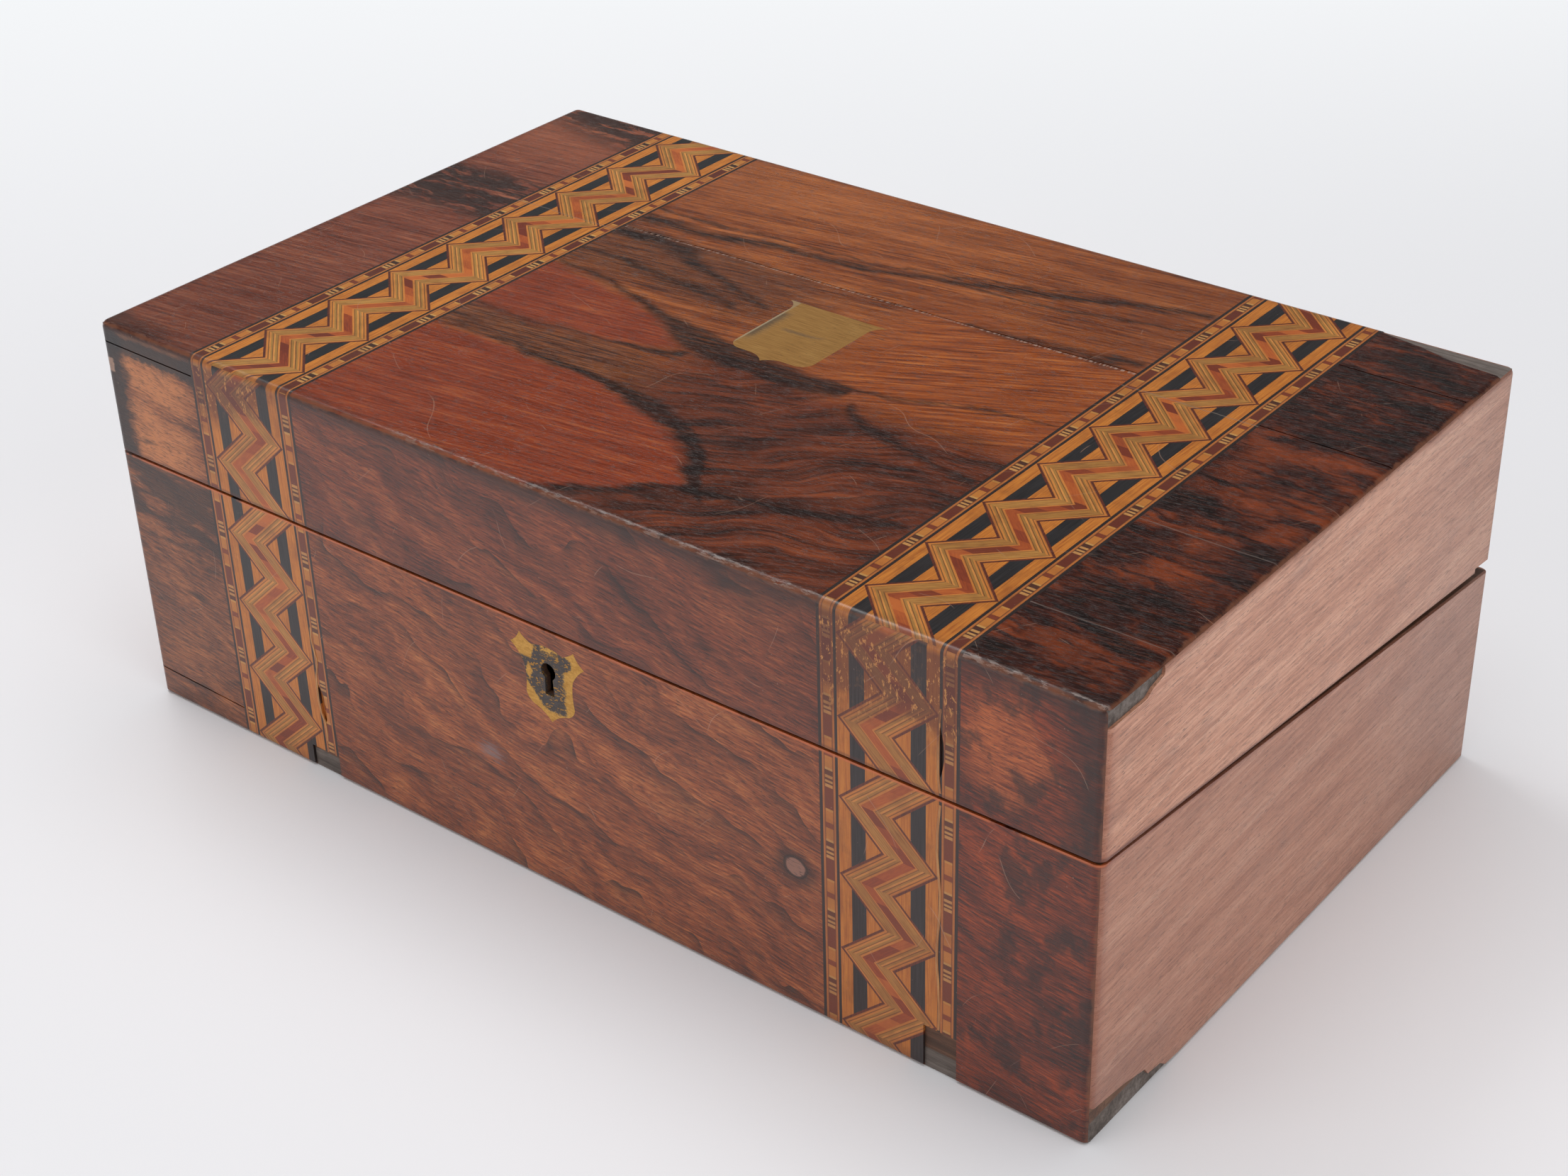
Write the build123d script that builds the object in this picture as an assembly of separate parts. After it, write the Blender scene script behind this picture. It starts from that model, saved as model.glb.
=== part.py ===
from build123d import *
import math
import os

# A walnut writing box in millimetres. X runs along the box, the lock side faces -Y, Z is up.
# The origin is the middle of the underside. Every piece is at its place in the closed box.

# Overall size of the closed box
LENGTH = 400.0
DEPTH = 241.0
HEIGHT = 150.0

# Where the box splits: height of the base at the lock and at the hinges, and the gap to the lid
BASE_FRONT_HEIGHT = 100.0
BASE_BACK_HEIGHT = 74.6
FRONT_GAP = 1.0
BACK_GAP = 3.4

# Carcass
WALL = 9.0
BOTTOM_THICKNESS = 7.5
TOP_THICKNESS = 7.0
VENEER = 1.0
CORNER_RADIUS = 3.0
EDGE_RADIUS = 2.5
FOOT_BEVEL = 1.2
TAIL_PITCH = 26.0
TAIL_SLOPE = 1 / 6

# Parquetry bands: each runs from back to front over the lid and down the front
BAND_CENTRE = 130.0
ZIGZAG_WIDTH = 35.0
ZIGZAG_THICKNESS = 20.0
ZIGZAG_PITCH_TOP = 28.6
ZIGZAG_PITCH_FRONT = 27.6
OUTLINE_WIDTH = 1.1
RED_WIDTH = 4.2
EDGE_LINE = 1.1
CHEQUER_WIDTH = 4.7
INNER_LINE = 1.0
ORANGE_WIDTH = 4.4
BLACK_WIDTH = 5.2
TOP_TIP_FROM_FRONT = 27.6
FRONT_TIP_HEIGHT = 31.0

# Brass plates let into the veneer
KEYHOLE_HEIGHT = BASE_FRONT_HEIGHT - 15.0
KEYHOLE_RADIUS = 3.0
KEYHOLE_SLOT_TOP = 3.1
KEYHOLE_SLOT_FOOT = 3.8
KEYHOLE_SLOT_DROP = 8.8
CARTOUCHE_X = 2.0
CARTOUCHE_TOP_FROM_FRONT = DEPTH / 2 + 26.8
CARTOUCHE_HALF = 16.2
CARTOUCHE_EAR_HALF = 20.2
CARTOUCHE_HEIGHT = 38.8
CARTOUCHE_TIP = 3.3

# Lock in the base and link plate in the lid
LOCK_LENGTH = 64.0
LOCK_DROP = 32.0
LOCK_CASE_LENGTH = 52.0
LOCK_CASE_DEPTH = 5.9
LOCK_PLATE = 1.2
LOCK_SHELL = 1.0
SELVEDGE_DEPTH = 8.6
SELVEDGE_THICKNESS = 1.7
STAPLE_SPREAD = 28.0
STAPLE_WIDTH = 2.4
STAPLE_DEPTH = 4.4
STAPLE_DROP = 9.4
STAPLE_EYE_HEIGHT = 3.6
STAPLE_EYE_WIDTH = 2.7
STAPLE_FOOT = 1.2
STAPLE_INSET = 2.6
STAPLE_SLOT = 0.5
BOLT_THICKNESS = 2.0
BOLT_TRAVEL = 5.0
BOLT_BAR_HEIGHT = 3.4
BOLT_TONGUE = 1.7
BOLT_CLEARANCE = 0.8
BOLT_NOTCH_WIDTH = 7.0
BOLT_NOTCH_HEIGHT = 1.4
GUIDE_LENGTH = 9.0
GUIDE_THICKNESS = 1.4
LOCK_SLACK = 0.3
DRILL_PIN_RADIUS = 1.0
DRILL_PIN_SHORT = 0.8
LINK_PLATE_LENGTH = 56.0
LINK_PLATE_THICKNESS = 1.6

# Main hinges: leaves laid on the rims, not let in
HINGE_X = LENGTH / 2 - 62.0
HINGE_LENGTH = 28.0
LEAF_DEPTH = 10.5
LEAF_THICKNESS = 1.4
KNUCKLE_RADIUS = 1.6
KNUCKLE_COUNT = 3
KNUCKLE_GAP = 0.3
PIN_RADIUS = 0.8
PIN_CLEARANCE = 0.05
HINGE_AXIS_OUT = 1.0

# Writing flaps
FLAP_SINK = 0.8
FLAP_THICKNESS = 6.0
FLAP_CLEARANCE = 0.6
LEDGE = 6.0
LEDGE_CLEARANCE = 0.3
RAIL_DEPTH = 13.0
LEATHER_THICKNESS = 0.8
LEATHER_BORDER = 13.0
FLAP_HINGE_X = LENGTH / 2 - 82.0
FLAP_HINGE_LENGTH = 20.0
FLAP_LEAF_DEPTH = 8.0
FLAP_LEAF_THICKNESS = 1.0
FLAP_KNUCKLE_RADIUS = 1.3
FLAP_PIN_RADIUS = 0.6

# Pen tray and inkwells
WELL_SIZE = 33.0
WELL_WALL = 3.0
WELL_DEPTH = 39.8
WELL_TOP_SINK = 5.0
DIVIDER_THICKNESS = 5.0
TRAY_THICKNESS = 22.0
TRAY_SINK = 7.0
TRAY_GROOVE_RADIUS = 18.0
TRAY_GROOVE_LIFT = 3.0
TRAY_GROOVE_SLOPE = 16.0
TRAY_END = 10.0
BOTTLE_SIZE = 31.0
BOTTLE_HEIGHT = 28.0
BOTTLE_CHAMFER = 3.0
BOTTLE_FLOOR = 5.0
NECK_RADIUS = 9.0
NECK_BORE_RADIUS = 7.0
NECK_HEIGHT = 3.4
COLLAR_RADIUS = 11.5
COLLAR_FIT = 0.05
CAP_RIM = 1.6
CAP_DOME = 1.4
CAP_GAP = 0.25
CAP_KNUCKLE_RADIUS = 1.3
CAP_PIN_RADIUS = 0.6
CAP_KNUCKLE_LENGTH = 4.0
CAP_EAR = 2.7
CAP_CROWN = 0.55

# Damage: shrinkage cracks in the veneer, and the chipped corner of the lid's rim at the back right
CRACK_WIDTH = 0.5
CRACK_DEPTH = 0.6
CHIP_LENGTH = 12.0
CHIP_REACH = 6.0
CHIP_RISE = 1.7

# Places that follow from the sizes above
FRONT = -DEPTH / 2
BACK = DEPTH / 2
SIDE = LENGTH / 2
BOARD_X = SIDE - VENEER
BOARD_Y = BACK - VENEER
INNER_X = BOARD_X - WALL
INNER_Y = BOARD_Y - WALL
TOP_BOARD_Z = HEIGHT - VENEER - TOP_THICKNESS
BAND_HALF = ZIGZAG_WIDTH / 2 + INNER_LINE + CHEQUER_WIDTH + EDGE_LINE
PIN_BORE = PIN_RADIUS + PIN_CLEARANCE


def base_rim(y):
    """Height of the base's sloping rim, y from the middle of the box."""
    return BASE_FRONT_HEIGHT + (BASE_BACK_HEIGHT - BASE_FRONT_HEIGHT) * (y - FRONT) / DEPTH


def lid_rim(y):
    """Height of the closed lid's sloping rim."""
    return base_rim(y) + FRONT_GAP + (BACK_GAP - FRONT_GAP) * (y - FRONT) / DEPTH


HINGE_Y = BACK + HINGE_AXIS_OUT
HINGE_Z = (base_rim(BACK) + lid_rim(BACK)) / 2
FLAP_HINGE_Y = INNER_Y - RAIL_DEPTH


def box(x0, x1, y0, y1, z0, z1):
    """A box between two corners."""
    return Pos((x0 + x1) / 2, (y0 + y1) / 2, (z0 + z1) / 2) * Box(x1 - x0, y1 - y0, z1 - z0)


def along_x(x0, x1, *points):
    """A prism along X whose section is the outline through (y, z) points."""
    face = Plane.YZ * Polygon(*points, align=None)
    return Pos(x0, 0, 0) * extrude(face, amount=x1 - x0, dir=(1, 0, 0))


def between(x0, x1, y0, y1, low, high):
    """A prism along X between two lines, each given as its height at y."""
    return along_x(x0, x1, (y0, low(y0)), (y1, low(y1)), (y1, high(y1)), (y0, high(y0)))


def rod_x(x0, x1, y, z, radius):
    """A cylinder along X."""
    return Pos((x0 + x1) / 2, y, z) * Rot(Y=90) * Cylinder(radius, x1 - x0)


def level(z):
    """A flat height, for use with between."""
    return lambda y: z


def beside(rim, offset):
    """A height that follows a rim at an offset."""
    return lambda y: rim(y) + offset


def solids_of(*shapes):
    """All the solids in some shapes, as one list."""
    return [solid for shape in shapes for solid in shape.solids()]


def outer_form():
    """The whole closed box as one block with its worn, rounded edges."""
    block = box(-SIDE, SIDE, FRONT, BACK, 0, HEIGHT)
    block = fillet(block.edges().filter_by(Axis.Z), CORNER_RADIUS)
    block = chamfer(block.faces().sort_by(Axis.Z)[0].edges(), FOOT_BEVEL)
    return fillet(block.faces().sort_by(Axis.Z)[-1].edges(), EDGE_RADIUS)


OUTER = outer_form()


# Carcass boards and their dovetails


def tails(x0, x1, y_out, y_in, z0, z1):
    """Dovetails at the end of a side board: wide at the outside, narrow at the shoulder."""
    count = max(1, round((z1 - z0) / TAIL_PITCH))
    pitch = (z1 - z0) / count
    wide = 0.62 * pitch
    narrow = wide - 2 * WALL * TAIL_SLOPE
    rows = []
    for i in range(count):
        middle = z0 + (i + 0.5) * pitch
        outline = [
            (y_out, middle - wide / 2),
            (y_in, middle - narrow / 2),
            (y_in, middle + narrow / 2),
            (y_out, middle + wide / 2),
        ]
        rows.append(along_x(x0, x1, *outline))
    return rows


def carcass(low, high):
    """Front, back, left and right boards between two heights, dovetailed at the corners."""
    front = between(-BOARD_X, BOARD_X, -BOARD_Y, -INNER_Y, low, high)
    back = between(-BOARD_X, BOARD_X, INNER_Y, BOARD_Y, low, high)
    left = between(-BOARD_X, -INNER_X, -INNER_Y, INNER_Y, low, high)
    right = between(INNER_X, BOARD_X, -INNER_Y, INNER_Y, low, high)
    for sign in (-1, 1):
        y_out = sign * BOARD_Y
        y_in = sign * INNER_Y
        top = min(high(y_out), high(y_in))
        bottom = max(low(y_out), low(y_in))
        left_tails = tails(-BOARD_X, -INNER_X, y_out, y_in, bottom, top)
        right_tails = tails(INNER_X, BOARD_X, y_out, y_in, bottom, top)
        for tail in left_tails:
            left = left + tail
        for tail in right_tails:
            right = right + tail
        if sign < 0:
            front = front - left_tails - right_tails
        else:
            back = back - left_tails - right_tails
    return {"front": front, "back": back, "left": left, "right": right}


# Parquetry


def zigzag_line(levels, pitch, tip, side):
    """Points of the zigzag's middle line at the given levels. It reaches its side at the tip level."""
    swing = (ZIGZAG_WIDTH - ZIGZAG_THICKNESS) / 2
    points = []
    for v in levels:
        phase = abs(((v - tip) / pitch) % 1.0 - 0.5) * 4 - 1
        points.append((side * swing * phase, v))
    return points


def zigzag_layer(v0, v1, pitch, tip, side, left, right):
    """One strip of the zigzag between two sideways offsets from its middle line."""
    first = math.ceil((v0 - tip) / (pitch / 2) + 1e-6)
    last = math.floor((v1 - tip) / (pitch / 2) - 1e-6)
    bends = [tip + i * pitch / 2 for i in range(first, last + 1)]
    line = zigzag_line([v0, *bends, v1], pitch, tip, side)
    up = [(u + left, v) for u, v in line]
    down = [(u + right, v) for u, v in reversed(line)]
    return Polygon(*up, *down, align=None)


def strip(u0, u1, v0, v1):
    """A straight strip of the band."""
    return Pos((u0 + u1) / 2, (v0 + v1) / 2) * Rectangle(u1 - u0, v1 - v0)


def band(v0, v1, pitch, tip, side):
    """The flat outlines of one band, by kind of wood, with the band's middle at u = 0."""
    half = ZIGZAG_WIDTH / 2
    thick = ZIGZAG_THICKNESS / 2
    inner = thick - OUTLINE_WIDTH
    red = RED_WIDTH / 2

    def layer(left, right):
        return zigzag_layer(v0, v1, pitch, tip, side, left, right)

    whole = layer(-thick, thick)
    kinds = {
        "zigzag_outlines": [layer(-thick, -inner), layer(inner, thick)],
        "zigzag_olive": [layer(-inner, -red), layer(red, inner)],
        "zigzag_red": [layer(-red, red)],
        "band_lines": [],
        "band_chequers": [],
        "band_orange": [],
        "band_black": [],
    }
    line = half + INNER_LINE
    chequer = line + CHEQUER_WIDTH
    edge = chequer + EDGE_LINE
    orange = half - ORANGE_WIDTH
    black = orange - BLACK_WIDTH
    core = black - (ZIGZAG_WIDTH - ZIGZAG_THICKNESS - ORANGE_WIDTH - BLACK_WIDTH)
    for sign in (-1, 1):
        def side_strip(near, far):
            return strip(min(sign * near, sign * far), max(sign * near, sign * far), v0, v1)

        kinds["band_lines"] += [side_strip(half, line), side_strip(chequer, edge)]
        kinds["band_chequers"].append(side_strip(line, chequer))
        kinds["band_orange"] += [side_strip(orange, half) - whole, side_strip(core, black) - whole]
        kinds["band_black"].append(side_strip(black, orange) - whole)
    return kinds


def front_plane(x):
    """A plane on the front face with its middle at x: u along X, v up."""
    return Plane(origin=(x, FRONT, 0), x_dir=(1, 0, 0), z_dir=(0, -1, 0))


def top_plane(x):
    """A plane on the top face: u along X, v towards the back from the front edge."""
    return Plane(origin=(x, FRONT, HEIGHT), x_dir=(1, 0, 0), z_dir=(0, 0, 1))


def let_in(plane, outline, depth):
    """The outline as a solid that reaches from the face into the wood."""
    return extrude(plane * outline, amount=depth, dir=-plane.z_dir)


def parquetry(bands, limits):
    """Cut the outlines into inlay solids, trimmed to the limits, by kind of wood."""
    pieces = {}
    for plane, outlines in bands:
        for kind, shapes in outlines.items():
            for shape in shapes:
                for face in shape.faces():
                    solid = let_in(plane, face, VENEER)
                    for limit in limits:
                        solid = solid & limit
                    pieces.setdefault(kind, []).extend(solids_of(solid))
    return pieces


# Damage


def lost_patches():
    """Blocks where veneer or inlay has come away down to the boards."""
    skin = FRONT + VENEER + 0.001
    left_edge = -BAND_CENTRE + BAND_HALF
    right_edge = BAND_CENTRE + BAND_HALF
    foot_left = box(left_edge - 13.3, left_edge, FRONT, skin, -1, 9.0)
    foot_right = box(right_edge - 11.8, right_edge, FRONT, skin, -1, 16.5)

    corner = Plane.XY * Polygon(
        (right_edge - 1, BACK - 2.5),
        (SIDE - 30, BACK - 5.5),
        (SIDE - 19, BACK - 8.7),
        (SIDE + 1, BACK - 10.5),
        (SIDE + 1, BACK + 1),
        (right_edge - 1, BACK + 1),
        align=None,
    )
    corner = Pos(0, 0, HEIGHT - VENEER) * extrude(corner, amount=2 * VENEER, dir=(0, 0, 1))

    foot = [(0, -1), (53, -1), (49, 1.2), (42, 1.7), (39, 4.2)]
    foot = foot + [(32, 5.2), (30, 8.2), (18, 11.2), (2, 13.4), (0, 15)]
    shoulder = [(0, -6.5), (19, -6.5), (22, -4.8), (27.5, -3.5), (28, -1), (0, -1)]
    side_low = along_x(BOARD_X, SIDE + 1, *[(y + FRONT, z) for y, z in foot])
    side_high = along_x(BOARD_X, SIDE + 1, *[(y + FRONT, z + HEIGHT) for y, z in shoulder])
    return [foot_left, foot_right, corner, side_low, side_high]


def string_gaps():
    """Slots beside the inner lines of the bands, where the thin stringing has sprung away."""
    left = -BAND_CENTRE + ZIGZAG_WIDTH / 2
    right = BAND_CENTRE + ZIGZAG_WIDTH / 2
    low = [(left + 0.5, 38), (left + 2.9, 33), (left + 3.5, 28), (left + 3.1, 23), (left + 1.5, 20)]
    high = [(right + 0.1, 125), (right + 1.4, 119), (right + 1.7, 114), (right + 1.1, 110), (right + 0.3, 107)]
    return [let_in(front_plane(0), Polygon(*points, align=None), 0.8 * VENEER) for points in (low, high)]


def crack(place, points, end):
    """A narrow groove through points of a face, where place(u, v) puts the face's plane there."""
    cuts = []
    for (u0, v0), (u1, v1) in zip(points, points[1:]):
        run = math.hypot(u1 - u0, v1 - v0)
        turn = math.degrees(math.atan2(v1 - v0, u1 - u0))
        middle = place((u0 + u1) / 2, (v0 + v1) / 2)
        cuts.append(middle * Rot(Z=turn) * Box(run + end, CRACK_WIDTH, 2 * CRACK_DEPTH))
    return cuts


def top_crack(*points):
    """A crack in the top veneer through (x, distance from the front) points."""
    return crack(lambda x, y: Pos(x, y + FRONT, HEIGHT), points, CRACK_WIDTH)


def front_crack(*points):
    """A crack in the front veneer through (x, height) points."""
    return crack(lambda x, z: Pos(x, FRONT, z) * Rot(X=90), points, CRACK_WIDTH)


# Brass plates


def escutcheon_outline():
    """The shield round the keyhole, from its middle line: dished top, ears, waist and point."""
    half = [
        ThreePointArc((0, 9.0), (3.4, 8.7), (6.4, 7.8)),
        ThreePointArc((6.4, 7.8), (9.0, 9.0), (11.3, 10.8)),
        ThreePointArc((11.3, 10.8), (12.9, 8.1), (15.4, 6.0)),
        ThreePointArc((15.4, 6.0), (12.4, 3.2), (10.2, -0.4)),
        ThreePointArc((10.2, -0.4), (9.7, -5.5), (10.2, -10.6)),
        ThreePointArc((10.2, -10.6), (9.1, -13.0), (6.6, -14.6)),
        ThreePointArc((6.6, -14.6), (3.0, -16.2), (0, -18.8)),
    ]
    other = [mirror(edge, about=Plane.YZ) for edge in half]
    return Pos(0, KEYHOLE_HEIGHT) * make_face(Curve() + half + other)


def keyhole_outline():
    """A round hole with a slot that widens a little towards its foot."""
    slot = Polygon(
        (-KEYHOLE_SLOT_TOP / 2, 0),
        (-KEYHOLE_SLOT_FOOT / 2, -KEYHOLE_SLOT_DROP),
        (KEYHOLE_SLOT_FOOT / 2, -KEYHOLE_SLOT_DROP),
        (KEYHOLE_SLOT_TOP / 2, 0),
        align=None,
    )
    return Pos(0, KEYHOLE_HEIGHT) * (Circle(KEYHOLE_RADIUS) + slot)


def cartouche_outline():
    """The blank plate of the lid: straight head with ears, hollow shoulders, ogee foot."""
    foot = -CARTOUCHE_HEIGHT
    half = [
        Line((0, 0), (CARTOUCHE_EAR_HALF, 0)),
        ThreePointArc(
            (CARTOUCHE_EAR_HALF, 0), (CARTOUCHE_HALF + 0.9, -2.6), (CARTOUCHE_HALF, -6.5)
        ),
        Line((CARTOUCHE_HALF, -6.5), (CARTOUCHE_HALF, foot + 4.6)),
        ThreePointArc(
            (CARTOUCHE_HALF, foot + 4.6), (CARTOUCHE_HALF - 1.4, foot + 1.4), (CARTOUCHE_HALF - 4.8, foot)
        ),
        Line((CARTOUCHE_HALF - 4.8, foot), (6.0, foot)),
        ThreePointArc((6.0, foot), (2.6, foot - 1.1), (0, foot - CARTOUCHE_TIP)),
    ]
    other = [mirror(edge, about=Plane.YZ) for edge in half]
    return Pos(CARTOUCHE_X, CARTOUCHE_TOP_FROM_FRONT) * make_face(Curve() + half + other)


# Main hinges


def knuckle_spans(own):
    """X spans of the knuckles of one leaf: 0 for the outer leaf, 1 for the one between."""
    pitch = HINGE_LENGTH / KNUCKLE_COUNT
    spans = []
    for i in range(own, KNUCKLE_COUNT, 2):
        start = -HINGE_LENGTH / 2 + i * pitch
        spans.append((start + KNUCKLE_GAP / 2, start + pitch - KNUCKLE_GAP / 2))
    return spans


def hinge_leaf(x, rim, lift, own):
    """One leaf laid on a rim: a plate, and knuckles on necks. lift is +1 for the base, -1 for the lid."""
    clear_y = HINGE_Y - KNUCKLE_RADIUS - KNUCKLE_GAP
    low = min(0, lift * LEAF_THICKNESS)
    high = max(0, lift * LEAF_THICKNESS)
    x0 = x - HINGE_LENGTH / 2
    leaf = between(x0, x0 + HINGE_LENGTH, BACK - LEAF_DEPTH, clear_y, beside(rim, low), beside(rim, high))
    for start, end in knuckle_spans(own):
        neck = between(x + start, x + end, clear_y, HINGE_Y, beside(rim, low), beside(rim, high))
        knuckle = rod_x(x + start, x + end, HINGE_Y, HINGE_Z, KNUCKLE_RADIUS)
        leaf = leaf + neck + knuckle
    return leaf - rod_x(x0 - 1, x0 + HINGE_LENGTH + 1, HINGE_Y, HINGE_Z, PIN_BORE)


# Lock and link plate

LOCK_BACK_Y = -INNER_Y
PLATE_Y = LOCK_BACK_Y - LOCK_PLATE
CASE_FRONT_Y = PLATE_Y - LOCK_CASE_DEPTH
SELVEDGE_Z = base_rim(-INNER_Y) - SELVEDGE_THICKNESS
LOCK_FOOT_Z = SELVEDGE_Z + SELVEDGE_THICKNESS - LOCK_DROP
CASE_FOOT_Z = LOCK_FOOT_Z + 2.0
STAPLE_Y = CASE_FRONT_Y + STAPLE_INSET
STAPLE_FOOT_Z = lid_rim(STAPLE_Y) - STAPLE_DROP - STAPLE_FOOT / 2
EYE_Z = STAPLE_FOOT_Z + STAPLE_FOOT
BAR_TOP_Z = STAPLE_FOOT_Z - 2 * LOCK_SLACK
STAPLE_XS = (-STAPLE_SPREAD / 2, STAPLE_SPREAD / 2)


def lock_blank():
    """The wood that is cut away for the lock."""
    half = LOCK_LENGTH / 2
    case = LOCK_CASE_LENGTH / 2
    plate = box(-half, half, PLATE_Y, LOCK_BACK_Y + 1, LOCK_FOOT_Z, HEIGHT)
    selvedge = box(-half, half, LOCK_BACK_Y - SELVEDGE_DEPTH, LOCK_BACK_Y + 1, SELVEDGE_Z, HEIGHT)
    pocket = box(-case, case, CASE_FRONT_Y - LOCK_SLACK, PLATE_Y, CASE_FOOT_Z, SELVEDGE_Z)
    return plate + selvedge + pocket


def lock_case():
    """Selvedge, back plate, case walls, bolt guides and drill pin, as one casting."""
    half = LOCK_LENGTH / 2
    case = LOCK_CASE_LENGTH / 2
    inside = case - LOCK_SHELL
    plate = box(-half, half, PLATE_Y, LOCK_BACK_Y, LOCK_FOOT_Z, SELVEDGE_Z)
    front_y = LOCK_BACK_Y - SELVEDGE_DEPTH
    selvedge = between(-half, half, front_y, LOCK_BACK_Y, level(SELVEDGE_Z), base_rim)
    walls = box(-case, case, CASE_FRONT_Y, PLATE_Y, CASE_FOOT_Z, SELVEDGE_Z)
    walls = walls - box(-inside, inside, CASE_FRONT_Y - 1, PLATE_Y, CASE_FOOT_Z + LOCK_SHELL, SELVEDGE_Z)
    guide_top = BAR_TOP_Z - BOLT_BAR_HEIGHT - LOCK_SLACK
    guides = [
        box(x, x + GUIDE_LENGTH, CASE_FRONT_Y + 1, PLATE_Y, guide_top - GUIDE_THICKNESS, guide_top)
        for x in (-inside, inside - GUIDE_LENGTH)
    ]
    pin_front = CASE_FRONT_Y + DRILL_PIN_SHORT
    pin = Rot(X=90) * Cylinder(DRILL_PIN_RADIUS, PLATE_Y - pin_front)
    body = plate + selvedge + walls + guides + Pos(0, (PLATE_Y + pin_front) / 2, KEYHOLE_HEIGHT) * pin
    for x in STAPLE_XS:
        reach = STAPLE_WIDTH / 2 + STAPLE_SLOT
        front_y = STAPLE_Y - STAPLE_DEPTH / 2 - LOCK_SLACK
        back_y = STAPLE_Y + STAPLE_DEPTH / 2 + 3 * LOCK_SLACK
        body = body - box(x - reach, x + reach, front_y, back_y, SELVEDGE_Z - 1, HEIGHT)
    return body


def lock_bolt():
    """The link bolt, drawn back: a bar with two tongues that slide into the staples."""
    y0 = STAPLE_Y - BOLT_THICKNESS / 2
    y1 = STAPLE_Y + BOLT_THICKNESS / 2
    stem = BOLT_TRAVEL + BOLT_TONGUE
    bar_low = BAR_TOP_Z - BOLT_BAR_HEIGHT
    tongue_low = EYE_Z + BOLT_CLEARANCE
    tongue_high = EYE_Z + STAPLE_EYE_HEIGHT - BOLT_CLEARANCE
    clear = STAPLE_WIDTH / 2 + 1
    bolt = box(STAPLE_XS[0] - stem - BOLT_TONGUE, STAPLE_XS[1] + 3, y0, y1, bar_low, BAR_TOP_Z)
    for x in STAPLE_XS:
        bolt = bolt + box(x - stem - BOLT_TONGUE, x - stem, y0, y1, bar_low, tongue_high)
        bolt = bolt + box(x - stem, x - clear, y0, y1, tongue_low, tongue_high)
    half = BOLT_NOTCH_WIDTH / 2
    return bolt - box(-half, half, y0 - 1, y1 + 1, bar_low - 1, bar_low + BOLT_NOTCH_HEIGHT)


def link_plate():
    """The plate in the lid's rim with its two staples."""
    half = LINK_PLATE_LENGTH / 2
    y0 = LOCK_BACK_Y - SELVEDGE_DEPTH
    plate = between(-half, half, y0, LOCK_BACK_Y, lid_rim, beside(lid_rim, LINK_PLATE_THICKNESS))
    y0 = STAPLE_Y - STAPLE_DEPTH / 2
    y1 = STAPLE_Y + STAPLE_DEPTH / 2
    eye_y0 = STAPLE_Y - STAPLE_EYE_WIDTH / 2
    eye_y1 = STAPLE_Y + STAPLE_EYE_WIDTH / 2
    root_z = lid_rim(STAPLE_Y) + LINK_PLATE_THICKNESS / 3
    for x in STAPLE_XS:
        staple = box(x - STAPLE_WIDTH / 2, x + STAPLE_WIDTH / 2, y0, y1, STAPLE_FOOT_Z, root_z)
        eye = box(x - STAPLE_WIDTH, x + STAPLE_WIDTH, eye_y0, eye_y1, EYE_Z, EYE_Z + STAPLE_EYE_HEIGHT)
        plate = plate + (staple - eye)
    return plate


def link_plate_blank():
    """The wood that is cut away for the link plate."""
    half = LINK_PLATE_LENGTH / 2
    y0 = LOCK_BACK_Y - SELVEDGE_DEPTH
    high = beside(lid_rim, LINK_PLATE_THICKNESS)
    return between(-half, half, y0, LOCK_BACK_Y + 1, beside(lid_rim, -5), high)


# Writing flaps


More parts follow.
